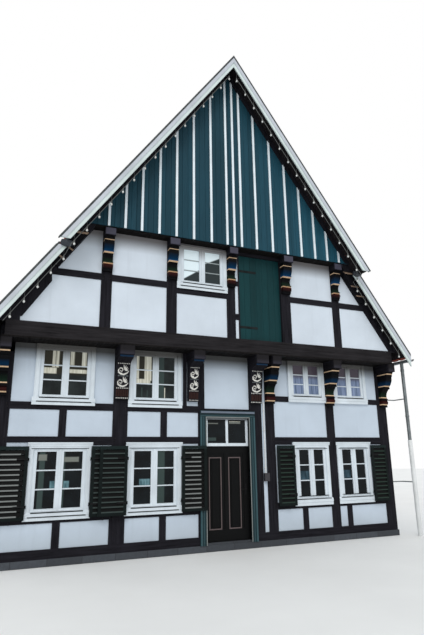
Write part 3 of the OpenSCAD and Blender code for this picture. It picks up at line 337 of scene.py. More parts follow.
def clay(name, colour):
    """Fired clay: tiles differ, with darker weathering and pale lichen specks."""
    material, tree, shader = start_material(name, 0.82)
    cells = add(tree, "ShaderNodeTexVoronoi", {"Vector": place_on(tree, (1.75, 4.06, 1.22)), "Scale": 1.0,
                                               "Randomness": 0.4})
    tone = add(tree, "ShaderNodeSeparateColor", {"Color": cells.outputs["Color"]}).outputs[0]
    colours = mix(tree, tone, shade(colour, 0.78), shade(colour, 1.25))
    soot = noise(tree, place_on(tree), 2.1, 6.0, 0.65)
    colours = stain(tree, colours, (0.085, 0.04, 0.032), soot, 0.48, 0.75, 0.75)
    specks = noise(tree, place_on(tree), 55.0, 4.0, 0.6)
    colours = stain(tree, colours, (0.42, 0.36, 0.28), specks, 0.67, 0.76, 0.5)
    coat(tree, shader, colours, specks, 0.35, 0.004)
    return material


def stone(name, colour, joint):
    """Rough stone blocks with joints."""
    material, tree, shader = start_material(name, 0.88)
    coords = heights(tree)
    along = maths(tree, "ADD", coords[0], coords[1])
    flat = add(tree, "ShaderNodeCombineXYZ", {"X": along, "Y": coords[2]}).outputs[0]
    blocks = add(tree, "ShaderNodeTexBrick", {"Vector": flat, "Color1": (*shade(colour, 0.8), 1),
                                              "Color2": (*shade(colour, 1.3), 1), "Mortar": (*joint, 1),
                                              "Scale": 1.0, "Mortar Size": 0.006, "Brick Width": 0.62,
                                              "Row Height": 0.29}, offset=0.5)
    grit = noise(tree, place_on(tree), 24.0, 6.0, 0.65)
    tone = mix(tree, spread(tree, grit, 0.35, 0.75, 0.0, 0.6), blocks.outputs["Color"], shade(colour, 0.55))
    coat(tree, shader, tone, grit, 0.6, 0.008)
    return material


def band_ramp(tree, share, stops):
    """Colours up a console by the share of its height."""
    ramp = add(tree, "ShaderNodeValToRGB", {"Fac": share})
    bands = ramp.color_ramp
    while len(bands.elements) > 1:
        bands.elements.remove(bands.elements[-1])
    bands.elements[0].position = 0.0
    bands.elements[0].color = (*stops[0][1], 1)
    for position, colour in stops[1:]:
        bands.elements.new(position).color = (*colour, 1)
    return ramp.outputs["Color"]


def banded(name, lower, upper):
    """Painted bands up two rows of consoles, each a foot, height and stops. Those on rafters stay dark."""
    material, tree, shader = start_material(name, 0.6, Specular_IOR_Level=0.06)
    x, _, z = heights(tree)
    tones = [band_ramp(tree, spread(tree, z, foot, foot + height), stops)
             for foot, height, stops in (lower, upper)]
    is_high = maths(tree, "GREATER_THAN", z, BETWEEN_CONSOLES_Z)
    tone = mix(tree, is_high, *tones)
    far = maths(tree, "ABSOLUTE", x)
    far = maths(tree, "GREATER_THAN", far, LAST_POST_X)
    on_rafter = maths(tree, "MULTIPLY", far, is_high)
    tone = mix(tree, on_rafter, tone, seen(20, 20, 24))
    wear_and_edge_sheen = noise(tree, place_on(tree), 34.0, 6.0, 0.7)
    tone = stain(tree, tone, seen(16, 15, 17), wear_and_edge_sheen, 0.56, 0.74, 0.6)
    coat(tree, shader, tone, wear_and_edge_sheen, 0.3, 0.003)
    return material


def inside(tree, low, high):
    """1 where Object coordinates lie between two corners."""
    result = None
    for axis, value in enumerate(heights(tree)):
        for bound, test in ((low[axis], "GREATER_THAN"), (high[axis], "LESS_THAN")):
            one = maths(tree, test, value, bound)
            result = one if result is None else maths(tree, "MULTIPLY", result, one)
    return result


def soft_boxes(tree, boxes):
    """1 inside upright rectangles on the front, with soft edges; each is lowest and highest X, then Z."""
    x, _, z = heights(tree)
    soft = 0.008
    result = None
    for x0, x1, z0, z1 in boxes:
        edges = [spread(tree, x, x0 - soft, x0 + soft), spread(tree, x, x1 + soft, x1 - soft),
                 spread(tree, z, z0 - soft, z0 + soft), spread(tree, z, z1 + soft, z1 - soft)]
        box = edges[0]
        for edge in edges[1:]:
            box = maths(tree, "MINIMUM", box, edge)
        result = box if result is None else maths(tree, "MAXIMUM", result, box)
    return result


# What shows in the panes of the front: curtains behind them and painted reflections on them, as boxes of
# lowest and highest X, lowest and highest Z
# Cream curtains above Z 2.6, and grey painted reflections below it
CURTAINS_AND_REFLECTIONS = [(-3.61, -3.555, 3.60, 4.0), (-3.543, -3.485, 3.60, 4.0), (-3.80, -3.525, 3.475, 3.59),
            (-3.27, -3.19, 3.66, 4.0), (-3.04, -2.95, 3.64, 4.0), (-3.30, -2.90, 3.50, 3.575),
            (-1.93, -1.86, 3.45, 4.0), (-1.74, -1.59, 3.42, 4.0), (-1.93, -1.61, 3.35, 3.45),
            (-1.30, -1.285, 3.0, 3.28), (-3.28, -3.0, 1.80, 1.89), (-3.74, -3.59, 1.83, 1.94),
            (-0.33, -0.05, 2.55, 2.57), (0.217, 0.489, 2.56, 2.61)]
# Teal patches on the lower panes: painted reflections
TEAL_REFLECTIONS = [(-3.51, -3.39, 1.31, 1.46), (-3.26, -3.16, 1.31, 1.455), (-1.80, -1.58, 1.33, 1.45),
              (1.90, 2.22, 1.33, 1.52), (3.10, 3.35, 1.345, 1.52)]
# Pale grey-green patches on the panes: painted reflections
PALE_REFLECTIONS = [(-3.72, -3.62, 0.9, 2.1), (-3.30, -3.25, 0.9, 2.1), (-1.45, -1.275, 0.9, 2.1),
              (-1.42, -1.31, 3.0, 4.0), (-1.80, -1.78, 3.0, 3.27), (-1.68, -1.665, 3.0, 3.22),
              (-0.34, -0.10, 2.167, 2.26)]
# The rooms whose lower half is dim: boxes of lowest and highest X, lowest and highest Z
CURTAIN_ROOMS = [(-4.0, -2.8, 3.0, 4.1), (-2.0, -1.5, 3.0, 4.1)]
# The edge between dark and the painted reflection of the sky in the gable window: slope and height at X = 0
# in each sash
BRIGHT_EDGES = [(0.66, 6.305), (0.494, 6.294)]
SASH_SPLIT_X = -0.6
# Boxes round windows of the front, as their lowest and highest corners
NEAR_Y = -20.0
GLASS_Y = FRONT_Y + 0.2
GABLE_WINDOW = ((-1.3, NEAR_Y, 5.0), (0.2, -5.8, 6.4))
RIGHT_UPPER_WINDOWS = ((1.5, NEAR_Y, 3.0), (4.5, GLASS_Y, 4.0))
FRONT_WINDOWS = ((-4.4, NEAR_Y, 0.5), (4.4, GLASS_Y, 6.5))


def window_pane(name):
    """Old glass: dark rooms, curtains in the middle storey, grey and teal painted reflections, and a bright
    half in the gable's window that is a painted reflection of the sky.
    """
    material, tree, shader = start_material(name, 0.07, Specular_IOR_Level=0.15)
    waves = noise(tree, place_on(tree), 3.5, 2.0)
    dark = mix(tree, spread(tree, waves, 0.35, 0.7), seen(20, 25, 26), seen(40, 47, 47))
    x, _, z = heights(tree)
    dark = mix(tree, spread(tree, z, 2.7, 2.9, 1.0, 0.0), dark, (0.22, 0.28, 0.36), "MULTIPLY")
    tone = mix(tree, soft_boxes(tree, PALE_REFLECTIONS), dark, seen(54, 68, 66))
    ripple = noise(tree, place_on(tree, (1, 1, 0.2)), 30.0, 2.0)
    teal = mix(tree, spread(tree, ripple, 0.35, 0.65), seen(54, 84, 92), seen(104, 138, 146))
    teal = mix(tree, spread(tree, x, 0.0, 0.5), teal, (0.3, 0.32, 0.38), "MULTIPLY")
    tone = mix(tree, soft_boxes(tree, TEAL_REFLECTIONS), tone, teal)
    folds = noise(tree, place_on(tree, (1, 1, 0.04)), 42.0, 3.0, 0.6)
    cream = mix(tree, spread(tree, folds, 0.35, 0.66), seen(178, 175, 156), seen(232, 230, 216))
    dusk = mix(tree, spread(tree, z, 3.44, 3.5), tone, seen(44, 42, 32))
    olive = mix(tree, soft_boxes(tree, CURTAIN_ROOMS), tone, dusk)
    upper = maths(tree, "GREATER_THAN", z, 2.6)
    pale = mix(tree, upper, seen(116, 120, 114), cream)
    tone = mix(tree, soft_boxes(tree, CURTAINS_AND_REFLECTIONS), olive, pale)
    # A painted reflection of the sky over the upper part of each sash of the gable window
    right_sash = maths(tree, "GREATER_THAN", x, SASH_SPLIT_X)
    edges = []
    for slope, height in BRIGHT_EDGES:
        line = maths(tree, "MULTIPLY_ADD", x, -slope, z)
        edges.append(mix(tree, spread(tree, line, height - 0.012, height + 0.012), (0, 0, 0), (1, 1, 1)))
    bright = mix(tree, mix(tree, right_sash, *edges), seen(44, 52, 54), seen(226, 240, 245))
    tone = mix(tree, inside(tree, *GABLE_WINDOW), tone, bright)
    net = mix(tree, spread(tree, folds, 0.35, 0.66), seen(80, 98, 122), seen(140, 154, 186))
    behind = mix(tree, spread(tree, z, 3.62, 3.72), net, seen(84, 76, 86))
    tone = mix(tree, inside(tree, *RIGHT_UPPER_WINDOWS), tone, behind)
    coat(tree, shader, mix(tree, inside(tree, *FRONT_WINDOWS), dark, tone), waves, 0.12, 0.01)
    return material


# Shapes

def box_into(mesh, low, high):
    """Adds a box between two corners to a bmesh."""
    for vertex in bmesh.ops.create_cube(mesh, size=1.0)["verts"]:
        vertex.co = Vector(low[i] + (vertex.co[i] + 0.5) * (high[i] - low[i]) for i in range(3))


def loft_into(mesh, rings):
    """Joins rings of points into a skin, with a face on each end."""
    rows = [[mesh.verts.new(point) for point in ring] for ring in rings]
    count = len(rows[0])
    for first, second in zip(rows, rows[1:]):
        for i in range(count):
            j = (i + 1) % count
            mesh.faces.new((first[i], first[j], second[j], second[i]))
    mesh.faces.new(rows[0][::-1])
    mesh.faces.new(rows[-1])


def tube_into(mesh, points, radius, sides=8):
    """A round tube along points; radius is one number or one for each point."""
    rings = []
    for i, point in enumerate(points):
        before = points[max(i - 1, 0)]
        after = points[min(i + 1, len(points) - 1)]
        way = (Vector(after) - Vector(before)).normalized()
        side = way.cross(Vector((0, 0, 1)) if abs(way.z) < 0.9 else Vector((1, 0, 0))).normalized()
        up = side.cross(way)
        r = radius[i] if isinstance(radius, (list, tuple)) else radius
        rings.append([Vector(point) + side * (r * math.cos(a)) + up * (r * math.sin(a))
                      for a in (2 * math.pi * k / sides for k in range(sides))])
    loft_into(mesh, rings)


def finish_mesh(mesh, name, key, smooth=False):
    """Turns a bmesh into an object at the origin, in the finish of that key."""
    bmesh.ops.recalc_face_normals(mesh, faces=mesh.faces)
    data = bpy.data.meshes.new(name)
    mesh.to_mesh(data)
    mesh.free()
    return finish_data(data, name, key, smooth)


def finish_data(data, name, key, smooth):
    """Gives a mesh its finish and shading and puts it in the scene."""
    data.materials.clear()
    data.materials.append(finish(key))
    for face in data.polygons:
        face.use_smooth = smooth
        face.material_index = 0
    if smooth:
        data.set_sharp_from_angle(angle=math.radians(38))
    thing = bpy.data.objects.new(name, data)
    bpy.context.scene.collection.objects.link(thing)
    return thing


def settle(thing, body="root", replaces=()):
    """Lets a finished piece ride on its body and stand for the nodes that it replaces."""
    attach(thing, body)
    if replaces:
        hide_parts(*replaces)


def fit(mesh, name, key, body="root", replaces=(), smooth=False):
    """Makes a bmesh a piece of the house."""
    settle(finish_mesh(mesh, name, key, smooth), body, replaces)


def moved_into(mesh, part, matrix):
    """Adds one bmesh to another, moved by a matrix. The part is used up."""
    data = bpy.data.meshes.new("part")
    part.to_mesh(data)
    part.free()
    data.transform(matrix)
    mesh.from_mesh(data)
    bpy.data.meshes.remove(data)


# Geometry node trees

def start_tree(name, inputs):
    """A geometry tree with named inputs; returns it, its input sockets, its output and the inputs' keys."""
    tree = bpy.data.node_groups.new(name, "GeometryNodeTree")
    face = tree.interface
    face.new_socket("Geometry", in_out="INPUT", socket_type="NodeSocketGeometry")
    keys = {}
    for label, kind in inputs.items():
        keys[label] = face.new_socket(label, in_out="INPUT", socket_type="NodeSocket" + kind).identifier
    face.new_socket("Geometry", in_out="OUTPUT", socket_type="NodeSocketGeometry")
    return tree, add(tree, "NodeGroupInput").outputs, add(tree, "NodeGroupOutput"), keys


def end_tree(tree, given, sink, points, **placing):
    """Puts the part on each point; every tree ends in real geometry with its material."""
    part = add(tree, "GeometryNodeObjectInfo", {"Object": given["Part"]}).outputs["Geometry"]
    placing.update(Points=points, Instance=part)
    placed = add(tree, "GeometryNodeInstanceOnPoints", placing).outputs[0]
    real = add(tree, "GeometryNodeRealizeInstances", {"Geometry": placed}).outputs[0]
    done = add(tree, "GeometryNodeSetMaterial", {"Geometry": real, "Material": given["Finish"]}).outputs[0]
    tree.links.new(done, sink.inputs[0])


def tree_of_places():
    """Puts a part on each point, turned and stretched by the point's own values."""
    tree, given, sink, keys = start_tree("parts_at_places", {"Part": "Object", "Finish": "Material"})
    turn, stretch = [add(tree, "GeometryNodeInputNamedAttribute", {"Name": key},
                         data_type="FLOAT_VECTOR").outputs[0] for key in ("turn", "stretch")]
    rotation = add(tree, "FunctionNodeEulerToRotation", {"Euler": turn}).outputs[0]
    end_tree(tree, given, sink, given["Geometry"], Rotation=rotation, Scale=stretch)
    return tree, keys


def tree_of_rows():
    """Rows and columns of one part on a flat field, each a little out of true."""
    tree, given, sink, keys = start_tree("rows_of_parts", {
        "Part": "Object", "Rows": "Int", "Columns": "Int", "Row Step": "Float", "Column Step": "Float",
        "Unevenness": "Float", "Seed": "Int", "Finish": "Material"})
    count = maths(tree, "MULTIPLY", given["Rows"], given["Columns"])
    index = add(tree, "GeometryNodeInputIndex").outputs[0]
    row = maths(tree, "MODULO", index, given["Rows"])
    column = maths(tree, "DIVIDE", index, given["Rows"])
    column = maths(tree, "FLOOR", column)
    x = maths(tree, "MULTIPLY", row, given["Row Step"])
    y = maths(tree, "MULTIPLY", column, given["Column Step"])
    place = add(tree, "ShaderNodeCombineXYZ", {"X": x, "Y": y}).outputs[0]
    points = add(tree, "GeometryNodePoints", {"Count": count, "Position": place}).outputs[0]
    least = maths(tree, "MULTIPLY", given["Unevenness"], -1.0)
    tilt = add(tree, "FunctionNodeRandomValue", {0: least, 1: given["Unevenness"], "Seed": given["Seed"]},
               data_type="FLOAT_VECTOR")
    rotation = add(tree, "FunctionNodeEulerToRotation", {"Euler": tilt.outputs[0]}).outputs[0]
    end_tree(tree, given, sink, points, Rotation=rotation)
    return tree, keys


def tree_of_string():
    """Puts a part at even steps along a path."""
    inputs = {"Part": "Object", "Step": "Float", "Finish": "Material"}
    tree, given, sink, keys = start_tree("parts_on_a_string", inputs)
    path = add(tree, "GeometryNodeMeshToCurve", {"Mesh": given["Geometry"]}).outputs[0]
    points = add(tree, "GeometryNodeCurveToPoints", {"Curve": path, "Length": given["Step"]}, mode="LENGTH")
    end_tree(tree, given, sink, points.outputs[0])
    return tree, keys


TREES = {}


def grow(kind, source, values):
    """Runs one of the trees on a source mesh and returns the result as a plain mesh."""
    if kind not in TREES:
        TREES[kind] = {"places": tree_of_places, "rows": tree_of_rows, "string": tree_of_string}[kind]()
    tree, keys = TREES[kind]
    carrier = bpy.data.objects.new("carrier", source)
    bpy.context.scene.collection.objects.link(carrier)
    modifier = carrier.modifiers.new("grow", "NODES")
    modifier.node_group = tree
    for label, value in values.items():
        modifier[keys[label]] = value
    bpy.context.view_layer.update()
    evaluated = carrier.evaluated_get(bpy.context.evaluated_depsgraph_get())
    made = bpy.data.meshes.new_from_object(evaluated)
    bpy.data.objects.remove(carrier)
    return made


def scatter(name, mesh, places, key, body="root", smooth=False):
    """One part at many places; a place is (point, turn, stretch). The part's bmesh is used up."""
    points = bpy.data.meshes.new(name + "_points")
    points.from_pydata([tuple(place[0]) for place in places], [], [])
    for label, column in (("turn", 1), ("stretch", 2)):
        values = points.attributes.new(label, "FLOAT_VECTOR", "POINT").data
        for value, place in zip(values, places):
            value.vector = place[column]
    part = finish_mesh(mesh, name + "_part", key)
    made = grow("places", points, {"Part": part, "Finish": finish(key)})
    bpy.data.objects.remove(part)
    settle(finish_data(made, name, key, smooth), body)


def as_made(points):
    """Places for parts that are neither turned nor stretched."""
    return [(point, (0, 0, 0), (1, 1, 1)) for point in points]


# Sizes and colours that a user would change

def seen(red, green, blue):
    """A colour as the eye reads it, 0 to 255, turned into the renderer's linear values."""
    return tuple(c / 255 / 12.92 if c <= 10 else ((c / 255 + 0.055) / 1.055) ** 2.4
                 for c in (red, green, blue))


def colour_prop(name, description, default):
    """A colour that a user may change."""
    return bpy.props.FloatVectorProperty(name=name, description=description, subtype="COLOR", size=3,
                                         min=0.0, max=1.0, default=default)


def length_prop(name, description, metres):
    """A length that a user may change."""
    return bpy.props.FloatProperty(name=name, description=description, unit="LENGTH", min=0.001,
                                   default=metres)


class HouseSizes(bpy.types.PropertyGroup):
    """Sizes of what repeats on the house."""

    tile_rows: bpy.props.IntProperty(
        name="Tile rows", description="Rows of tiles on a slope", default=26, min=10)
    tile_columns: bpy.props.IntProperty(
        name="Tile columns", description="Tiles in a row that reaches the upper verge", default=50, min=20)
    roof_board: length_prop("Roof board", "Width of the boards under the tiles", 0.2)
    ridge_step: length_prop("Ridge tile step", "Distance between ridge tiles", 0.36)
    board: length_prop("Board", "Width of a cladding board", 0.13)
    bar: length_prop("Glazing bar", "Width of a glazing bar", 0.026)
    bulb_step: length_prop("Bulb step", "Distance between the bulbs of the string", 0.381)
    bulb: length_prop("Bulb", "Radius of a bulb", 0.023)
    peg: length_prop("Peg", "Radius of a timber peg", 0.014)
    bracket_step: length_prop("Bracket step", "Distance between gutter brackets", 0.75)


class HouseColours(bpy.types.PropertyGroup):
    """Colours of the house."""

    timber: colour_prop("Timber", "Tarred oak frame", seen(27, 26, 31))
    beam: colour_prop("Beams", "Weathered long beams", seen(34, 32, 34))
    plaster: colour_prop("Infill", "Limewashed infill", seen(208, 217, 227))
    cladding: colour_prop("Cladding", "Boards of the upper gable", seen(27, 62, 75))
    white: colour_prop("White", "Windows and sills", seen(213, 222, 229))
    battens: colour_prop("Battens", "Battens of the upper gable", seen(228, 237, 243))
    barge: colour_prop("Bargeboards", "Bargeboards", seen(208, 220, 218))
    barge_cap: colour_prop("Bargeboard caps", "Boards lapped over the bargeboards", seen(192, 197, 205))
    shutter: colour_prop("Shutters", "Louvred shutters", seen(12, 20, 20))
    loft: colour_prop("Loft door", "Loft door", seen(14, 52, 55))
    surround: colour_prop("Door surround", "Boards round the door", seen(32, 52, 57))
    door: colour_prop("Door", "Door leaf", seen(11, 12, 13))
    edging: colour_prop("Door edging", "Edging of the door panels", seen(98, 86, 86))
    tile: colour_prop("Tiles", "Roof tiles", seen(176, 82, 66))
    zinc: colour_prop("Zinc", "Gutters, pipes and trims", seen(120, 126, 128))
    stone: colour_prop("Plinth", "Plinth stone", seen(62, 66, 72))
    gold: colour_prop("Gold", "Gilded lines", seen(228, 194, 158))
    blue: colour_prop("Blue", "Blue console paint", seen(8, 60, 98))
    green: colour_prop("Green", "Green console paint", seen(19, 38, 28))
    maroon: colour_prop("Maroon", "Maroon console paint", seen(48, 17, 16))


def sizes():
    """The sizes that the scene holds."""
    return bpy.context.scene.house_sizes


def colour(key):
    """One of the colours that the scene holds."""
    return tuple(getattr(bpy.context.scene.house_colours, key))


LOWER_CONSOLE_H = 0.85
UPPER_CONSOLE_H = 0.74
# Where the shaded top rail of the fanlight starts
FANLIGHT_TOP_RAIL_Z = 2.6


def gold_line(foot, after):
    """Stops of a gilded line that starts at a share of the height and gives way to another colour."""
    width = 0.026
    soft = 0.006
    gold = colour("gold")
    return [(foot + soft, gold), (foot + width, gold), (foot + width + soft, after)]


def console_paint():
    """Bands of paint with gilded lines between them, up the lower and the upper consoles, each band
    darkening towards its top as painted shade.
    """
    black = (0.003, 0.003, 0.004)
    blue = colour("blue")
    green = colour("green")
    maroon = colour("maroon")
    teal = shade(blue, 0.45)
    # Each colour fades to black as it rises to the next gilded line: painted shade in the hollow under that
    # fillet
    lower = [(0.0, black), (0.06, black), *gold_line(0.06, maroon), (0.15, maroon), (0.22, black),
             (0.265, black), *gold_line(0.265, green), (0.4, shade(green, 0.6)), (0.48, black),
             (0.585, black), *gold_line(0.585, teal), (0.67, teal), (0.76, black), (0.925, black),
             *gold_line(0.925, black)]
    upper = [(0.0, black), (0.06, black), (0.17, maroon), (0.205, maroon), *gold_line(0.205, green),
             (0.34, shade(green, 0.6)), (0.42, black), (0.52, black), *gold_line(0.52, blue), (0.57, blue),
             (0.65, shade(blue, 0.4)), (0.78, black), (0.88, black), *gold_line(0.88, black)]
    low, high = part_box("painted_consoles")
    return banded("console_paint", (low.z, LOWER_CONSOLE_H, lower),
                  (high.z - UPPER_CONSOLE_H, UPPER_CONSOLE_H, upper))


FINISHES = {}


def finish(name):
    """A finish of the house by name, made once."""
    if name in FINISHES:
        return FINISHES[name]
    makers = {
        "timber_x": lambda: timber("timber_along_x", colour("timber"), "x"),
        "timber_y": lambda: timber("timber_along_y", colour("timber"), "y"),
        "timber_z": lambda: timber("timber_upright", colour("timber"), "z"),
        "beam_x": lambda: timber("long_beam", colour("beam"), "x"),
        "soffit": lambda: timber("roof_boards", seen(30, 27, 29), "y"),
        "floor": lambda: timber("floor_boards", seen(20, 18, 18), "y"),
        "plaster": lambda: plaster("limewash", colour("plaster")),
        "cladding": lambda: board_paint("petrol_paint", colour("cladding"), sizes().board,
                                        (1.3, 1.55, 1.6)),
        "white": lambda: paint("white_paint", colour("white"), "z", 0.38, 0.12),
        "fanlight": lambda: paint("fanlight_paint", colour("white"), "z", 0.38, 0.12,
                                  painted_shade_from=FANLIGHT_TOP_RAIL_Z),
        "batten": lambda: paint("batten_paint", colour("battens"), "z", 0.38, 0.12),
        # Grey paint: painted shade on the gable window's white bars; the small beads of the carved consoles
        # use it too
        "grey_bar": lambda: paint("grey_bars", seen(150, 160, 162), "x", 0.5, 0.2),
        # Dark paint for painted shadow lines at the windows and at the foot of the fanlight's panes
        "joint": lambda: paint("open_joints", seen(26, 29, 31), "x", 0.8, 0.2, 0.1),
        "white_bar": lambda: paint("white_bars", colour("white"), "x", 0.38, 0.12),
        "barge": lambda: paint("bargeboard_paint", colour("barge"), "z", 0.45, 0.3),
        "barge_cap": lambda: paint("barge_cap_paint", colour("barge_cap"), "z", 0.45, 0.3),
        "shutter": lambda: louvre_paint("shutter_paint", colour("shutter")),
        # Pale paint for strips on the louvres' front edges: painted highlights, brightest where the sky's
        # sheen falls on shutters 1 and 4
        "worn_edge": lambda: paint("worn_edge_paint", seen(124, 127, 126), "x", 0.6, 0.6, 0.1),
        "shutter_edge": lambda: paint("shutter_edge_paint", seen(58, 68, 66), "x", 0.6, 0.5, 0.1),
        "dim_edge": lambda: paint("dim_edge_paint", seen(42, 57, 50), "x", 0.6, 0.5, 0.1),
        "loft": lambda: board_paint("loft_door_paint", colour("loft"), 0.15),
        "surround": lambda: paint("surround_paint", colour("surround"), "z", 0.5, 0.2, 0.15),
        "surround_edge": lambda: paint("surround_edge_paint", seen(56, 84, 90), "z", 0.5, 0.2, 0.2),
        "bead": lambda: paint("pale_bead_paint", seen(140, 144, 142), "z", 0.4, 0.3),
        "head_line": lambda: paint("door_head_line_paint", seen(108, 118, 132), "x", 0.5, 0.3, 0.2),
        "door": lambda: paint("door_paint", colour("door"), "z", 0.5, 0.25, 0.1),
        "edging": lambda: paint("edging_paint", colour("edging"), "z", 0.5, 0.2, 0.2),
        "tile": lambda: clay("roof_clay", colour("tile")),
        "zinc": lambda: metal("zinc", colour("zinc"), 0.5, 0.75),
        "dark_zinc": lambda: metal("dark_zinc", shade(colour("zinc"), 0.35), 0.6, 0.5),
        "lead": lambda: metal("dark_lead", seen(70, 74, 80), 0.7, 0.2),
        "iron": lambda: metal("wrought_iron", seen(18, 18, 20), 0.7, 0.1),
        "rust": lambda: metal("rusty_iron", seen(30, 34, 35), 0.8, 0.2),
        "stone": lambda: stone("plinth_stone", colour("stone"), seen(38, 40, 43)),
        "paving": lambda: stone("floor_stone", seen(130, 126, 120), seen(90, 88, 84)),
        "glass": lambda: window_pane("old_glass"),
        "plastic": lambda: paint("white_plastic", seen(222, 224, 224), "z", 0.5, 0.1),
        "conduit": lambda: conduit_paint("conduit_paint", seen(222, 224, 224)),
        "consoles": console_paint,
        "cap": lambda: paint("beam_end_paint", seen(68, 67, 80), "x", 0.6, 0.6, 0.15),
        "blue": lambda: paint("blue_paint", colour("blue"), "x", 0.5, 0.4, 0.2),
        "faded_gold": lambda: paint("faded_gilding", seen(160, 136, 116), "x", 0.6, 0.3, 0.2),
        "carving": lambda: paint("white_carving_paint", seen(222, 220, 214), "z", 0.6, 0.3),
        "red_carving": lambda: paint("red_carving_paint", seen(50, 28, 24), "z", 0.6, 0.6, 0.15),
        "bulb": lambda: paint("frosted_bulb", seen(214, 215, 212), "z", 0.2, 0.0),
        "cable": lambda: paint("grey_cable", seen(92, 94, 92), "z", 0.5, 0.0),
    }
    FINISHES[name] = makers[name]()
    return FINISHES[name]


NODE_FINISHES = {
    "stone": ["plinth"], "paving": ["ground_floor"],
    "timber_z": ["front_posts", "side_posts", "rear_posts", "gable_posts", "rafters", "rake_strips",
                 "carved_consoles"],
    "timber_x": ["sills", "front_rails", "rear_rails", "gable_rails"],
    "timber_y": ["side_rails", "floor_beams", "roof_purlins"],
    "beam_x": ["gable_beams"],
    "plaster": ["front_infill", "side_infill", "rear_infill", "gable_infill"],
    "floor": ["plank_floors"],
    "batten": ["cladding_battens"],
    "white": ["window_frames", "window_sills", "window_heads"],
    "fanlight": ["fanlight"],
    "barge": ["bargeboards"],
    "zinc": ["gutters", "downpipes"],
    "dark_zinc": ["verge_trims"],
    "glass": ["window_glass"],
    "surround": ["door_surround", "door_head"],
    "door": ["door_frame", "door_leaf"],
    "iron": ["door_handle", "hinge_pintles"],
    "shutter": ["shutter_1", "shutter_2", "shutter_3", "shutter_4", "shutter_5", "shutter_6"],
    "conduit": ["wall_conduit"],
    "consoles": ["painted_consoles"],
}


class HOUSE_OT_finishes(bpy.types.Operator):
    """Give the frame's own pieces their finishes"""

    bl_idname = "house.finishes"
    bl_label = "Finishes"

    def execute(self, context):
        for name, nodes in NODE_FINISHES.items():
            for node in nodes:
                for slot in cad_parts[node].material_slots:
                    slot.material = finish(name)
        return {"FINISHED"}


# Roof

def slope_matrix(side):
    """Takes a field's X down the slope, its Y along the ridge and its Z off the roof; side is 1 or -1."""
    down = Vector((side * math.cos(PITCH), 0, -math.sin(PITCH)))
    along = Vector((0, side, 0))
    off = Vector((side * math.sin(PITCH), 0, math.cos(PITCH)))
    matrix = Matrix((down, along, off)).transposed().to_4x4()
    matrix.translation = Vector((0, 0, APEX_Z))
    return matrix


# Height of a tile's wave across its width: a roll at one edge and a flat pan
TILE_WAVE = [(0.0, 0.030), (0.12, 0.041), (0.25, 0.029), (0.36, 0.010), (0.55, 0.003), (0.8, 0.006),
             (0.92, 0.016), (1.0, 0.030)]
TILE_T = 0.013
TILE_LIFT = 0.024
TILE_LAP = 0.07
ROOF_T = 0.08
ROOF_BOARD_T = 0.013


def pan_tile(width, exposed):
    """One clay tile: a rolled sheet that lies on the tile below it at its lower end."""
    mesh = bmesh.new()
    length = exposed + TILE_LAP
    rings = []
    for x, lift in ((0.0, 0.0), (length - 0.02, TILE_LIFT), (length, TILE_LIFT - 0.004)):
        top = [Vector((x, share * width, lift + height)) for share, height in TILE_WAVE]
        under = [point - Vector((0, 0, TILE_T)) for point in reversed(top)]
        rings.append(top + under)
    loft_into(mesh, rings)
    return finish_mesh(mesh, "tile", "tile", smooth=True)


def roof_board(pace, depth):
    """One board under the tiles, as long as its field is deep, with a fine joint beside it."""
    mesh = bmesh.new()
    box_into(mesh, (0.0, 0.0, 0.0), (pace - 0.003, depth, ROOF_BOARD_T))
    return finish_mesh(mesh, "board", "soffit")


def lay(fields, side, rise, key):
    """Fields of a part on a slope as one mesh.

    A field is its part, rows, columns, the two paces, its first X and Y and how uneven it lies.
    """
    whole = bmesh.new()
    for part, rows, columns, row_pace, column_pace, x, y, uneven in fields:
        made = grow("rows", bpy.data.meshes.new("field"), {
            "Part": part, "Rows": rows, "Columns": columns, "Row Step": row_pace,
            "Column Step": column_pace, "Unevenness": uneven, "Seed": 7 + rows, "Finish": finish(key)})
        bpy.data.objects.remove(part)
        # The rear verge lies at Y = rear on the right slope and at -rear in the left slope's own frame
        width = columns * column_pace
        start_y = ROOF_REAR_Y - y - width if side > 0 else y - ROOF_REAR_Y
        made.transform(slope_matrix(side) @ Matrix.Translation((x, start_y, rise)))
        whole.from_mesh(made)
        bpy.data.meshes.remove(made)
    return whole


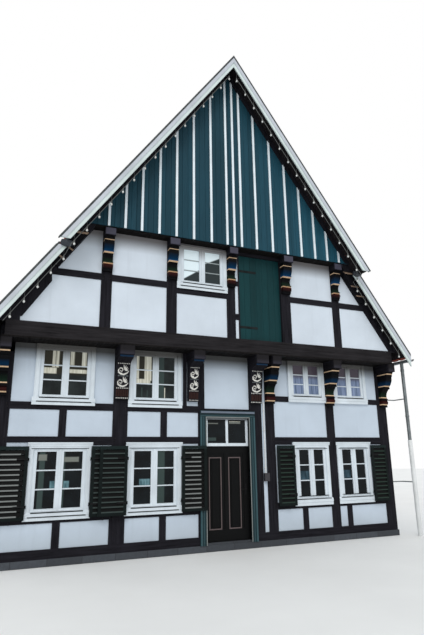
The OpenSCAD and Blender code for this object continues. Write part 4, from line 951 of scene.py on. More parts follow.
class HOUSE_OT_roof_tiles(bpy.types.Operator):
    """Lay boards and rows of clay tiles on both slopes"""

    bl_idname = "house.roof_tiles"
    bl_label = "Roof tiles"

    def execute(self, context):
        rows = sizes().tile_rows
        columns = sizes().tile_columns
        slope_length = EAVE_X / math.cos(PITCH)
        exposed = slope_length / rows
        step = (ROOF_REAR_Y - ROOF_FRONT_Y) / columns
        low_depth = ROOF_REAR_Y - LOW_VERGE_Y
        top_depth = LOW_VERGE_Y - ROOF_FRONT_Y
        low_columns = int(low_depth / step)
        rest = low_depth - low_columns * step
        board_rows = round(slope_length / sizes().roof_board)
        board = slope_length / board_rows
        for side, name in ((1, "right"), (-1, "left")):
            step_down = (APEX_Z - step_height(side)) / math.sin(PITCH)
            upper = int((step_down - TILE_LAP) / exposed)
            lower = rows - upper
            down = upper * exposed
            tiles = [(pan_tile(step, exposed), upper, columns, exposed, step, 0.0, 0.0, 0.004),
                     (pan_tile(step, exposed), lower, low_columns, exposed, step, down, 0.0, 0.004),
                     (pan_tile(rest, exposed), lower, 1, exposed, rest, down, low_columns * step, 0.0)]
            whole = lay(tiles, side, ROOF_BOARD_T + TILE_T - ROOF_T, "tile")
            fit(whole, "tiles_" + name, "tile", replaces=["roof_" + name], smooth=True)
            upper = int(step_down / board)
            boards = [(roof_board(board, low_depth), board_rows, 1, board, low_depth, 0.0, 0.0, 0.0),
                      (roof_board(board, top_depth), upper, 1, board, top_depth, 0.0, low_depth, 0.0)]
            whole = lay(boards, side, -ROOF_T, "soffit")
            fit(whole, "roof_boards_" + name, "soffit")
        return {"FINISHED"}


RIDGE_LAP = 0.03
# How far the first ridge tile stands back from the end of the CAD's ridge
RIDGE_IN = 0.07


def ridge_cap(length):
    """One ridge tile: a round back with straight wings, a little wider at one end."""
    back_r = 0.078
    back_drop = 0.105
    wing_w = 0.13
    thick = 0.016
    mesh = bmesh.new()
    rings = []
    for y, grow_by in ((0.0, 1.0), (length, 1.1), (length + RIDGE_LAP, 1.08)):
        r = back_r * grow_by
        outline = [Vector((r * math.sin(a), y, r * math.cos(a) - back_drop)) for a in
                   (math.radians(d) for d in (-55, -35, -12, 12, 35, 55))]
        wing = Vector((math.cos(PITCH), 0, -math.sin(PITCH))) * wing_w
        outline = [outline[0] + Vector((-wing.x, 0, wing.z)), *outline, outline[-1] + wing]
        under = [point - Vector((0, 0, thick)) for point in reversed(outline)]
        rings.append(outline + under)
    loft_into(mesh, rings)
    return finish_mesh(mesh, "cap", "tile", smooth=True)


class HOUSE_OT_ridge(bpy.types.Operator):
    """Lay ridge tiles along the ridge"""

    bl_idname = "house.ridge"
    bl_label = "Ridge tiles"

    def execute(self, context):
        low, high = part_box("ridge_tiles")
        count = round((high.y - low.y) / sizes().ridge_step)
        start = low.y + RIDGE_IN
        pace = (high.y - start - RIDGE_LAP) / count
        cap = ridge_cap(pace)
        made = grow("rows", bpy.data.meshes.new("ridge"), {
            "Part": cap, "Rows": 1, "Columns": count, "Row Step": 0.0, "Column Step": pace,
            "Unevenness": 0.006, "Seed": 3, "Finish": finish("tile")})
        bpy.data.objects.remove(cap)
        made.transform(Matrix.Translation((0, start, high.z)))
        settle(finish_data(made, "ridge_caps", "tile", smooth=True), replaces=["ridge_tiles"])
        return {"FINISHED"}


# Boarded gables

def board_into(mesh, x0, x1, z0, top_z, y_back, y_front):
    """An upright board with chamfered edges whose top follows the roof."""
    gap = 0.0012
    chamfer = 0.005 if y_front < y_back else -0.005
    x0 += gap
    x1 -= gap
    inset = abs(chamfer)
    outline = [(x0, y_back), (x0, y_front + chamfer), (x0 + inset, y_front), (x1 - inset, y_front),
               (x1, y_front + chamfer), (x1, y_back)]
    low = [Vector((x, y, z0)) for x, y in outline]
    high = [Vector((x, y, max(top_z(x), z0 + 0.002))) for x, y in outline]
    loft_into(mesh, [low, high])


class HOUSE_OT_cladding(bpy.types.Operator):
    """Nail upright boards on both upper gables"""

    bl_idname = "house.cladding"
    bl_label = "Gable boards"

    def execute(self, context):
        low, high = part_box("gable_cladding")
        battens = {round((a.x + b.x) / 2, 3) for a, b in solids("cladding_battens")}
        marks = sorted({low.x, 0.0, high.x} | battens)
        edges = []
        for x0, x1 in zip(marks, marks[1:]):
            count = max(1, round((x1 - x0) / sizes().board))
            edges += [x0 + (x1 - x0) * k / count for k in range(count)]
        edges.append(high.x)
        slope = math.tan(PITCH)
        mesh = bmesh.new()
        for y_back, y_front in ((TOP_Y, low.y), (REAR_Y, high.y)):
            for x0, x1 in zip(edges, edges[1:]):
                board_into(mesh, x0, x1, low.z, lambda x: high.z - abs(x) * slope, y_back, y_front)
        fit(mesh, "gable_boards", "cladding", replaces=["gable_cladding"])
        return {"FINISHED"}


# Windows

def wall_turn(low, high):
    """How a part made for the front wall is turned to face out of the wall that holds this window."""
    middle = (low + high) / 2
    if high.x - low.x > high.y - low.y:
        return 0.0 if middle.y < 0 else math.pi
    return -math.pi / 2 if middle.x < 0 else math.pi / 2


def across(low, high):
    """The width of a window or pane, in whichever wall it is."""
    return max(high.x - low.x, high.y - low.y)


def bar_of(outline):
    """A bar of length 1 along X with an outline of (y, z) points."""
    mesh = bmesh.new()
    loft_into(mesh, [[Vector((x, y, z)) for y, z in outline] for x in (-0.5, 0.5)])
    return mesh


def moulded(half_deep, half_high, edge):
    """Outline of a bar whose front and back edges are chamfered."""
    deep, high = half_deep - edge * 2, half_high - edge
    return [(-half_deep, -high), (-half_deep, high), (-deep, half_high), (deep, half_high),
            (half_deep, high), (half_deep, -high), (deep, -half_high), (-deep, -half_high)]


def casement_panes():
    """The panes of the windows that have glazing bars, which are taller than the fanlight's."""
    return [box for box in solids("window_glass") if box[1].z - box[0].z > 0.5]


class HOUSE_OT_glazing_bars(bpy.types.Operator):
    """Put two glazing bars across every casement"""

    bl_idname = "house.glazing_bars"
    bl_label = "Glazing bars"

    def execute(self, context):
        places = {"white_bar": [], "grey_bar": []}
        for low, high in casement_panes():
            middle = (low + high) / 2
            # The white bars of the gable window are painted grey: painted shade on bars seen from below
            key = "grey_bar" if low.z > 5 and low.y < 0 else "white_bar"
            for k in (1, 2):
                point = (middle.x, middle.y, low.z + (high.z - low.z) * k / 3)
                places[key].append((point, (0, 0, wall_turn(low, high)), (across(low, high) + 0.004, 1, 1)))
        for key, rows in places.items():
            bar = bar_of(moulded(0.015, sizes().bar / 2, 0.005))
            scatter("glazing_bars_" + key.split("_")[0], bar, rows, key)
        return {"FINISHED"}


def frame_into(mesh, x0, x1, z0, z1, width, back, front, edge=0.003, foot=True):
    """A flat frame with mitred corners and chamfered edges, in front of the wall; it may have no foot."""
    outline = [(0.0, back), (0.0, front + edge), (edge, front), (width - edge, front),
               (width, front + edge), (width, back)]
    corners = [(x0, z0, 1, 1), (x0, z1, 1, -1), (x1, z1, -1, -1), (x1, z0, -1, 1)]
    rings = []
    for x, z, sx, sz in corners:
        rise = sz if foot or z != z0 else 0
        rings.append([mesh.verts.new((x + sx * inset, y, z + rise * inset)) for inset, y in outline])
    count = len(outline)
    pairs = list(zip(rings, rings[1:])) + ([(rings[-1], rings[0])] if foot else [])
    for first, second in pairs:
        for i in range(count):
            j = (i + 1) % count
            mesh.faces.new((first[i], first[j], second[j], second[i]))
    if not foot:
        mesh.faces.new(rings[0])
        mesh.faces.new(rings[-1][::-1])


# How far the casing's face and the sashes' face lie in front of the wall
CASING_OUT = 0.025
SASH_OUT = 0.003
# Outline of the weather bar: depth from the sash's face and height from the pane's foot
WEATHER_BAR = [(0.002, -0.046), (-0.016, -0.046), (-0.016, -0.038), (-0.004, -0.020), (0.002, -0.018)]


class HOUSE_OT_sash_trim(bpy.types.Operator):
    """Give every window its casing beads, meeting strip, pane beads and weather bars"""

    bl_idname = "house.sash_trim"
    bl_label = "Sash trim"

    def execute(self, context):
        panes = casement_panes()
        mesh = bmesh.new()
        for low, high in solids("window_frames"):
            turn = wall_turn(low, high)
            middle = (low + high) / 2
            mine = [p for p in panes
                    if all(low[i] - 0.01 < p[0][i] and p[1][i] < high[i] + 0.01 for i in range(3))]
            # The depths of this part count from the casing's face
            part = bmesh.new()
            outer = across(low, high) / 2 - 0.004
            frame_into(part, -outer, outer, low.z + 0.004, high.z - 0.004, 0.018, 0.002, -0.006)
            foot = min(p[0].z for p in mine)
            top = max(p[1].z for p in mine)
            inner = across(low, high) / 2 - 0.074
            frame_into(part, -inner, inner, foot - 0.066, top + 0.066, 0.014, 0.002, -0.004)
            sash = CASING_OUT - SASH_OUT
            box_into(part, (-0.017, sash - 0.011, foot - 0.045), (0.017, sash + 0.002, top + 0.045))
            for pane in mine:
                local = (pane[0] + pane[1]) / 2 - middle
                at = (Matrix.Rotation(-turn, 3, "Z") @ local).x
                half = across(*pane) / 2
                bead = 0.010
                reach = half + bead
                frame_into(part, at - reach, at + reach, pane[0].z - bead, pane[1].z + bead, bead,
                           sash + 0.002, sash - 0.003, 0.002)
                weather_bar = [Vector((0, sash + out, pane[0].z + z)) for out, z in WEATHER_BAR]
                loft_into(part, [[point + Vector((x, 0, 0)) for point in weather_bar]
                                 for x in (at - half - 0.05, at + half + 0.05)])
            outward = {0.0: (middle.x, low.y, 0), math.pi: (middle.x, high.y, 0),
                       -math.pi / 2: (low.x, middle.y, 0), math.pi / 2: (high.x, middle.y, 0)}
            moved_into(mesh, part, Matrix.Translation(outward[turn]) @ Matrix.Rotation(turn, 4, "Z"))
        fit(mesh, "sash_trim", "white")
        return {"FINISHED"}


# Painted shadow lines at the sills: foot and top from a sill's upper edge, and how far in from its ends
SILL_SHADOW_LINES = [(-0.022, -0.003, 0.13), (-0.094, -0.077, 0.08)]
LOW_RIGHT_SILL_SHADOW_LINES = [(-0.018, -0.002, 0.05), (0.044, 0.060, 0.09)]
# Boards under the rail over the shutters: lowest and highest X, and foot
RAIL_FILLETS = [(-2.76, -2.2, 2.105), (-0.91, -0.5, 2.13), (1.3, 1.77, 2.105), (3.96, 4.4, 2.105)]
RAIL_FILLET_TOP = 2.2
# The board under the gable window's sill: lowest and highest X, then Z
SILL_BOARD = (-1.205, -0.005, 5.265, 5.378)


class HOUSE_OT_window_shadow_lines(bpy.types.Operator):
    """Draw painted shadow lines under the heads and at the sills of the front windows"""

    bl_idname = "house.window_joints"
    bl_label = "Window shadow lines"

    def execute(self, context):
        mesh = bmesh.new()
        for low, high in solids("window_sills"):
            if low.y > 0 or across(low, high) != high.x - low.x:
                continue
            # Painted shadow lines along each sill
            joints = SILL_SHADOW_LINES
            if low.x > 0:
                joints = SILL_SHADOW_LINES[:1] if high.z > 2 else LOW_RIGHT_SILL_SHADOW_LINES
            for z0, z1, inset in joints:
                face = low.y if z1 < 0 else low.y + 0.02
                block_into(mesh, (low.x + inset, face - 0.0015, high.z + z0),
                           (high.x - inset, face + 0.001, high.z + z1), 0.0005)
        # A painted shadow line under each head of the front
        for low, high in solids("window_heads"):
            if low.y < 0:
                foot = low.z - (0.046 if low.x < 0 else 0.078)
                block_into(mesh, (low.x + 0.07, low.y + 0.0155, foot),
                           (high.x - 0.07, low.y + 0.021, foot + 0.012), 0.0005)
        fit(mesh, "window_joints", "joint")
        fillets = bmesh.new()
        for x0, x1, z0 in RAIL_FILLETS:
            block_into(fillets, (x0, FRONT_Y + 0.003, z0), (x1, FRONT_Y + 0.02, RAIL_FILLET_TOP), 0.003)
        infill_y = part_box("gable_infill")[0].y
        x0, x1, z0, z1 = SILL_BOARD
        block_into(fillets, (x0, infill_y - 0.013, z0), (x1, infill_y + 0.001, z1), 0.003)
        fit(fillets, "rail_fillets", "timber_x")
        return {"FINISHED"}


# Consoles, beam ends and carving

def block_into(mesh, low, high, edge):
    """A board on a wall that faces -Y, with its front edges chamfered."""
    back = [(low[0], low[2]), (high[0], low[2]), (high[0], high[2]), (low[0], high[2])]
    front = [(low[0] + edge, low[2] + edge), (high[0] - edge, low[2] + edge),
             (high[0] - edge, high[2] - edge), (low[0] + edge, high[2] - edge)]
    loft_into(mesh, [[Vector((x, y, z)) for x, z in outline]
                     for y, outline in ((high[1], back), (low[1] + edge, back), (low[1], front))])


def fillet_faces():
    """Outlines of the small front faces of the consoles on the end rafters, which are their fillets."""
    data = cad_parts["painted_consoles"].data
    small = 0.006
    faces = [face for face in data.polygons if face.normal.y < -0.99 and face.area < small
             and face.center.z > BETWEEN_CONSOLES_Z and abs(face.center.x) > LAST_POST_X]
    return [[data.vertices[i].co.copy() for i in face.vertices] for face in faces]


class HOUSE_OT_beam_ends(bpy.types.Operator):
    """Put painted caps on the ends of the beams over the consoles"""

    bl_idname = "house.beam_ends"
    bl_label = "Beam ends"

    def execute(self, context):
        thick = 0.014
        mesh = bmesh.new()
        for low, high in solids("floor_beams"):
            block_into(mesh, (low.x + 0.004, low.y - thick, low.z + 0.004),
                       (high.x - 0.004, low.y + 0.001, high.z - 0.004), 0.008)
        fit(mesh, "beam_ends", "cap")
        lines = bmesh.new()
        for outline in fillet_faces():
            loft_into(lines, [[point + Vector((0, out, 0)) for point in outline]
                              for out in (0.001, -0.0015)])
        fit(lines, "rafter_console_lines", "faded_gold")
        return {"FINISHED"}


# How far a carved console's sloping board reaches out at its foot and its top, and its height
CARVED_FOOT = 0.07
CARVED_TOP = 0.17
CARVED_BOARD = 0.73
# Heights on that board
BEAD_ROWS = (0.020, 0.218, 0.712)
SMALL_BEAD_ROW = 0.465
SCROLL_FIELDS = (0.585, 0.345)
REED_FIELD = (0.050, 0.080, 0.115, 0.155, 0.190)
BEADS = 7
REEDS = 6
LEAVES = 5
SCROLL_POINTS = 16
# Points of the crescent under a scroll: share of the half width, and height in its field
CRESCENT = [(-0.85, -0.055), (-0.4, -0.088), (0.1, -0.094), (0.55, -0.065), (0.85, -0.02)]


def carved_point(middle, foot, u, w, out):
    """A point on a carved console's sloping board: u across, w up from its foot, out in front of it."""
    share = w / CARVED_BOARD
    depth = CARVED_FOOT + (CARVED_TOP - CARVED_FOOT) * share - 0.012 * 4 * share * (1 - share)
    return Vector((middle + u, FRONT_Y - depth - out, foot + w))


def scroll_points(radius, turns):
    """A spiral in the plane of the board that runs out into a short stem."""
    points = []
    for k in range(SCROLL_POINTS):
        share = k / (SCROLL_POINTS - 1)
        angle = share * turns * 2 * math.pi + math.pi
        r = radius * (0.15 + 0.85 * share)
        points.append((r * math.cos(angle), r * math.sin(angle)))
    return points


def middles(count, half):
    """The middles of equal parts of a width from -half to half."""
    return [(k + 0.5) / count * 2 * half - half for k in range(count)]


def ball(radius):
    """A small round head with few faces."""
    mesh = bmesh.new()
    bmesh.ops.create_icosphere(mesh, subdivisions=1, radius=radius)
    return mesh


class HOUSE_OT_carving(bpy.types.Operator):
    """Carve scrolls, leaf fans, beads and reeds on the three carved consoles"""

    bl_idname = "house.carving"
    bl_label = "Carving"

    def execute(self, context):
        white = bmesh.new()
        red = bmesh.new()
        blue = bmesh.new()
        beads = []
        small_beads = []
        tilt = math.atan2(CARVED_TOP - CARVED_FOOT, CARVED_BOARD)
        for low, high in solids("carved_consoles"):
            middle = (low.x + high.x) / 2
            half = (high.x - low.x) / 2 - 0.008
            at = functools.partial(carved_point, middle, low.z)
            # Rows of scalloped beads between the fields, and a row of small ones between the scrolls
            r = half / BEADS * 0.68
            beads += [(at(u, w, 0.0), (tilt, 0, 0), (r, 0.010, r))
                      for w in BEAD_ROWS for u in middles(BEADS, half)]
            r = half * 0.07
            small_beads += [(at(u, SMALL_BEAD_ROW, 0.0), (tilt, 0, 0), (r, 0.006, r))
                            for u in middles(BEADS, half * 0.85)]
            # Two fields with a bold scroll, a crescent under it and a fan of leaves each
            scroll = scroll_points(half * 0.52, 1.3)
            for centre in SCROLL_FIELDS:
                trail = [at(u - half * 0.36, centre - 0.01 + w, 0.006) for u, w in scroll]
                tube_into(white, trail, [0.008 + 0.007 * k / (len(trail) - 1) for k in range(len(trail))],
                          6)
                crescent = [at(half * u, centre + w, 0.006) for u, w in CRESCENT]
                tube_into(white, crescent, [0.005, 0.014, 0.019, 0.015, 0.005], 6)
                for k in range(LEAVES):
                    angle = math.radians(5 + 24 * k)
                    reach = 0.072 + 0.012 * k
                    leaf = [at(half * 0.18 + out * math.cos(angle), centre - 0.015 + out * math.sin(angle),
                               0.005) for out in (0.012, reach * 0.55, reach)]
                    tube_into(white, leaf, [0.006, 0.013, 0.004], 6)
            # Reeds in the lowest field
            for u in middles(REEDS, half):
                tube_into(red, [at(u, w, -0.002) for w in REED_FIELD], half / REEDS * 0.8)
            # The painted front edge of the head
            block_into(blue, (middle - half - 0.006, low.y - 0.002, high.z - 0.038),
                       (middle + half + 0.006, low.y + 0.001, high.z - 0.002), 0.001)
        fit(white, "console_scrolls", "carving", smooth=True)
        fit(red, "console_reeds", "red_carving", smooth=True)
        fit(blue, "console_blue_edges", "blue")
        scatter("console_beads", ball(1.0), beads, "carving", smooth=True)
        scatter("console_small_beads", ball(1.0), small_beads, "grey_bar", smooth=True)
        return {"FINISHED"}


# Bargeboards and the string of bulbs on them

BARGE_W = 0.165
# What lies on the bargeboards: name, finish, slot, thickness, distances from the upper edge, and how much
# higher than the step the lower verge's strips end
VERGE_STRIPS = [("barge_caps", "barge_cap", "white_paint", 0.014, 0.002, BARGE_W * 0.58, 0.0),
                ("verge_flashing", "dark_zinc", "zinc", 0.017, -0.010, 0.022, 0.05)]


def verge_strip_into(mesh, side, y, thick, near, far, top_z=None, low_z=None):
    """A strip on a bargeboard between two distances from its upper edge, cut level at the heights given."""
    slope = math.tan(PITCH)
    outline = []
    for width, ends in ((near, (0, 1)), (far, (1, 0))):
        drop = width / math.cos(PITCH)
        reach = [0.0005 if top_z is None else (APEX_Z - drop - top_z) / slope,
                 EAVE_X if low_z is None else (APEX_Z - drop - low_z) / slope]
        outline += [(reach[end], APEX_Z - drop - reach[end] * slope) for end in ends]
    loft_into(mesh, [[Vector((side * x, depth, z)) for x, z in outline]
                     for depth in (y + 0.001, y - thick)])


class HOUSE_OT_barge_caps(bpy.types.Operator):
    """Lap a narrower board over the upper part of each bargeboard"""

    bl_idname = "house.barge_caps"
    bl_label = "Bargeboard caps"

    def execute(self, context):
        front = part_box("bargeboards")[0].y
        low_front = front + LOW_VERGE_Y - ROOF_FRONT_Y
        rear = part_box("bargeboards")[1].y
        for name, key, slot, thick, near, far, above in VERGE_STRIPS:
            mesh = bmesh.new()
            for side in (1, -1):
                step = step_height(side)
                verge_strip_into(mesh, side, front, thick, near, far, low_z=step)
                verge_strip_into(mesh, side, low_front, thick, near, far, top_z=step + above)
                verge_strip_into(mesh, side, rear, -thick, near, far)
            fit(mesh, name, key)
        return {"FINISHED"}


def verge_path(side):
    """The bargeboard's lower edge from the ridge down, with the step back to the lower verge."""
    drop = BARGE_W / math.cos(PITCH)
    slope = math.tan(PITCH)
    step_x = (APEX_Z - drop - step_height(side)) / slope

    def point(x, y):
        return Vector((side * x, y, APEX_Z - drop - x * slope))

    behind = 0.045
    return [point(0.10, ROOF_FRONT_Y + behind), point(step_x - 0.02, ROOF_FRONT_Y + behind),
            point(step_x + 0.03, LOW_VERGE_Y + behind), point(EAVE_X - 0.30, LOW_VERGE_Y + behind)]


# How far from the step in the left verge its nearest bulbs hang
LEFT_BULB_RISE = 0.10
LEFT_BULB_DROP = 0.05


class HOUSE_OT_bulb_string(bpy.types.Operator):
    """Hang a string of small bulbs along both front verges"""

    bl_idname = "house.bulb_string"
    bl_label = "Bulb string"

    def execute(self, context):
        hang = 0.11
        bulb_r = sizes().bulb
        pace = sizes().bulb_step
        path = bpy.data.meshes.new("verge_path")
        points = []
        edges = []
        cable = bmesh.new()
        for side in (1, -1):
            start = len(points)
            line = verge_path(side)
            points += line
            if side < 0:
                down = (line[3] - line[2]).normalized()
                points[start + 1] = line[1] - down * LEFT_BULB_RISE
                points[start + 2] = line[2] + down * LEFT_BULB_DROP
                whole_steps = int((line[3] - points[start + 2]).length / pace)
                points[start + 3] = points[start + 2] + down * (pace * whole_steps + 0.001)
            edges += [(start + k, start + k + 1) for k in range(len(line) - 1) if side > 0 or k != 1]
            tube_into(cable, [p - Vector((0, 0, hang)) for p in line], 0.007, 6)
        path.from_pydata([tuple(p) for p in points], edges, [])
        holder = bmesh.new()
        tube_into(holder, [(0, -0.048, 0.03), (0, -0.03, 0.03), (0, 0, -0.01), (0, 0, -hang - 0.01)],
                  0.003, 5)
        tube_into(holder, [(0, 0, -hang + 0.008), (0, 0, -hang - 0.012), (0, 0, -hang - 0.055)],
                  [0.009, 0.015, 0.012], 8)
        glass = bmesh.new()
        bmesh.ops.create_uvsphere(glass, u_segments=10, v_segments=7, radius=bulb_r)
        for vertex in glass.verts:
            vertex.co.z = vertex.co.z * 1.15 - hang - 0.055 - bulb_r * 0.9
        for name, mesh, key in (("bulb_holders", holder, "cable"), ("bulbs", glass, "bulb")):
            part = finish_mesh(mesh, name + "_part", key)
            made = grow("string", path.copy(), {"Part": part, "Step": pace, "Finish": finish(key)})
            bpy.data.objects.remove(part)
            settle(finish_data(made, name, key, smooth=True))
        fit(cable, "bulb_cable", "cable", smooth=True)
        return {"FINISHED"}


# Doors

class HOUSE_OT_loft_door(bpy.types.Operator):
    """Make the loft door of upright boards with two strap irons"""

    bl_idname = "house.loft_door"
    bl_label = "Loft door"

    def execute(self, context):
        low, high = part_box("loft_door")
        boards = 7
        pace = (high.x - low.x) / boards
        face = ATTIC_Y + 0.06
        joint = 0.001
        chamfer = 0.003
        mesh = bmesh.new()
        for k in range(boards):
            x0 = low.x + k * pace + joint
            x1 = low.x + (k + 1) * pace - joint
            outline = [(x0, high.y), (x0, face + chamfer), (x0 + chamfer, face), (x1 - chamfer, face),
                       (x1, face + chamfer), (x1, high.y)]
            loft_into(mesh, [[Vector((x, y, z)) for x, y in outline] for z in (low.z, high.z)])
        fit(mesh, "loft_door_boards", "loft", replaces=["loft_door"])
        strap_y = face - 0.007
        half_w = 0.027
        straps = bmesh.new()
        nails = []
        for z in (low.z + 0.29, high.z - 0.37):
            block_into(straps, (low.x + 0.02, strap_y, z - half_w), (low.x + 0.47, face + 0.001, z + half_w),
                       chamfer)
            nails += [(low.x + 0.08 + 0.15 * k, strap_y, z) for k in range(3)]
        fit(straps, "loft_door_straps", "rust")
        scatter("loft_door_nails", ball(0.010), as_made(nails), "rust")
        return {"FINISHED"}


# Dark strips painted as shade at the foot of the fanlight's two panes: lowest and highest X of each, foot
# and top
FANLIGHT_PANES_X = [(-0.305, 0.123), (0.177, 0.605)]
FANLIGHT_SHADE_Z = (2.143, 2.192)


class HOUSE_OT_front_door(bpy.types.Operator):
    """Edge the door's panels and lay mouldings on the boards round the doorway"""

    bl_idname = "house.front_door"
    bl_label = "Front door"

    def execute(self, context):
        low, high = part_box("door_leaf")
        panel_w = (high.x - low.x) * 0.29
        foot, head = low.z + 0.23, high.z - 0.225
        recess = low.y + 0.013
        inset = 0.042
        edging = bmesh.new()
        panels = bmesh.new()
        for side in (-1, 1):
            x = (low.x + high.x) / 2 - 0.05 + side * panel_w * 0.78
            x0, x1 = x - panel_w / 2, x + panel_w / 2
            frame_into(edging, x0, x1, foot, head, 0.022, recess, low.y - 0.003)
            frame_into(panels, x0 + inset, x1 - inset, foot + inset, head - inset, 0.010,
                       recess, low.y + 0.001)
        fit(edging, "door_panel_edging", "edging", "door")
        fit(panels, "door_panel_mouldings", "door", "door")
        left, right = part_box("door_surround")
        head_low, head_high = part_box("door_head")
        face = left.y
        outer = bmesh.new()
        # Each moulding: distances of its sides from the boards' outer edge, its thickness and its chamfer
        for near, far, thick, edge in ((0.0, 0.038, 0.012, 0.005), (0.070, 0.084, 0.006, 0.003)):
            for x0, x1 in ((left.x + near, left.x + far), (right.x - far, right.x - near)):
                block_into(outer, (x0, face - thick, left.z), (x1, face + 0.001, right.z), edge)
        block_into(outer, (left.x, face - 0.010, head_low.z + 0.010),
                   (right.x, face + 0.001, head_low.z + 0.026), 0.004)
        fit(outer, "doorway_mouldings", "surround_edge")
        # Dark strips at the foot of the fanlight's panes: painted shade
        light_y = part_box("fanlight")[0].y
        dark = bmesh.new()
        foot, top = FANLIGHT_SHADE_Z
        for x0, x1 in FANLIGHT_PANES_X:
            block_into(dark, (x0, light_y - 0.004, foot), (x1, light_y + 0.001, top), 0.002)
        fit(dark, "fanlight_beads", "joint")
        drip = bmesh.new()
        block_into(drip, (head_low.x + 0.01, head_low.y - 0.006, head_high.z - 0.055),
                   (head_high.x - 0.01, head_low.y + 0.001, head_high.z - 0.012), 0.004)
        fit(drip, "door_head_line", "head_line")
        bead = bmesh.new()
        bead_w = 0.016
        side_w = 0.145 - bead_w
        frame_into(bead, left.x + side_w, right.x - side_w, left.z, head_low.z + 0.001, bead_w,
                   face + 0.030, face - 0.004, foot=False)
        fit(bead, "doorway_bead", "bead")
        return {"FINISHED"}


# Shutters

SHUTTER_BODIES = {1: "left_shutter_1", 2: "root", 3: "left_shutter_3", 4: "right_shutter_4",
                  5: "left_shutter_5", 6: "right_shutter_6"}
# How bright the painted highlight on the front edges of each shutter's louvres is
LOUVRE_EDGE_SHEEN = {1: "worn_edge", 2: "shutter_edge", 3: "shutter_edge", 4: "worn_edge", 5: "dim_edge",
             6: "dim_edge"}
STILE_W = 0.062
LOUVRES = 13
# From a leaf's foot or head to the middle of its strap iron
IRON_IN = 0.232


class HOUSE_OT_shutter_trim(bpy.types.Operator):
    """Edge the louvres of each shutter with pale strips painted as highlights, and put strap irons on it and
    a catch under it
    """

    bl_idname = "house.shutter_trim"
    bl_label = "Shutter trim"

    def execute(self, context):
        catches = []
        for index, body in SHUTTER_BODIES.items():
            low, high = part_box("shutter_%d" % index)
            on_left = index in (1, 3, 5)
            reach = -1 if on_left else 1
            near = (high.x if on_left else low.x) + reach * 0.023
            far = low.x if on_left else high.x
            middle = (near + far) / 2
            front = low.y + 0.005
            wear_and_edge_sheen = LOUVRE_EDGE_SHEEN[index]
            shorter = 0.07 if index in (1, 4) else 0.0
            length = abs(far - near) - 2 * STILE_W - shorter
            pitch = (high.z - low.z - 2 * STILE_W) / LOUVRES
            lowest = low.z + STILE_W + pitch / 2 - 0.036
            places = [((middle - shorter / 2, front + 0.001, lowest + k * pitch), (0, 0, 0), (length, 1, 1))
                      for k in range(LOUVRES)]
            # The pale strips along the louvres are painted highlights on their front edges
            scatter("louvre_edges_%d" % index, bar_of(moulded(0.003, 0.013, 0.0015)), places, wear_and_edge_sheen,
                    body)
            irons = bmesh.new()
            for z in (low.z + IRON_IN, high.z - IRON_IN):
                x0, x1 = sorted((near + reach * 0.002, near + reach * 0.2))
                block_into(irons, (x0, low.y - 0.003, z - 0.014), (x1, front + 0.001, z + 0.014), 0.002)
            fit(irons, "shutter_irons_%d" % index, "iron", body)
            catches.append((middle - 0.02 * reach, FRONT_Y, low.z - 0.035))
        catch = bmesh.new()
        tube_into(catch, [(0, 0.004, 0), (0, -0.07, 0), (0, -0.112, 0.004)], [0.006, 0.006, 0.005], 6)
        tube_into(catch, [(0, -0.108, -0.030), (0, -0.112, 0.0), (0, -0.110, 0.022)],
                  [0.009, 0.006, 0.004], 6)
        scatter("shutter_catches", catch, as_made(catches), "iron")
        return {"FINISHED"}


# Leadwork, rainwater, conduit and pegs

# Outline of the dark board on the inner side of the left end rafter, as X and Z
LEFT_RAFTER_FILLET = [(-3.774, 5.219), (-3.784, 5.363), (-4.470, 4.382), (-4.470, 4.376), (-4.295, 4.376),
                      (-4.301, 4.458), (-4.266, 4.460)]


class HOUSE_OT_verge_rolls(bpy.types.Operator):
    """Dress lead over the top ends of the lower bargeboards and roofs, and box in the left rafter"""

    bl_idname = "house.verge_rolls"
    bl_label = "Verge rolls"

    def execute(self, context):
        mesh = bmesh.new()
        y = LOW_VERGE_Y - 0.065
        for side in (1, -1):
            z = step_height(side)
            outer = (APEX_Z - z) / math.tan(PITCH)
            inner = (APEX_Z - z - BARGE_W / math.cos(PITCH)) / math.tan(PITCH)
            # The left roll lies a little farther in, as in the photograph
            inward = 0.055 if side < 0 else 0.0
            ends = [(side * (inner + share * (outer - inner) - inward), y, z + 0.025 + share * 0.02)
                    for share in (-0.05, 0.0, 0.45, 0.95, 1.0)]
            tube_into(mesh, ends, [0.03, 0.06, 0.08, 0.055, 0.03], 12)
        fit(mesh, "verge_rolls", "lead", smooth=True)
        aprons = bmesh.new()
        exposed = EAVE_X / math.cos(PITCH) / sizes().tile_rows
        for side in (1, -1):
            step_down = (APEX_Z - step_height(side)) / math.sin(PITCH)
            near = int((step_down - TILE_LAP) / exposed) * exposed + TILE_LAP + 0.002
            # The plate closes the lower edge of the upper verge's boards and tiles
            plate = bmesh.new()
            y0, y1 = sorted((side * ROOF_FRONT_Y, side * LOW_VERGE_Y))
            box_into(plate, (near, y0, -ROOF_T), (near + 0.01, y1, 0.004))
            moved_into(aprons, plate, slope_matrix(side))
        fit(aprons, "verge_aprons", "lead")
        fillet = bmesh.new()
        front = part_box("gable_infill")[0].y
        loft_into(fillet, [[Vector((x, y, z)) for x, z in LEFT_RAFTER_FILLET]
                           for y in (front + 0.001, front - 0.016)])
        fit(fillet, "left_rafter_fillet", "timber_z")
        return {"FINISHED"}


# Heights of the collars on a downpipe, of the top of its white foot, and of the conduit's clips
COLLARS_Z = (0.55, 1.95, 2.75, 3.9)
WHITE_TOP_Z = 2.2
CLIPS_Z = (1.62, 2.02, 2.42, 2.86)


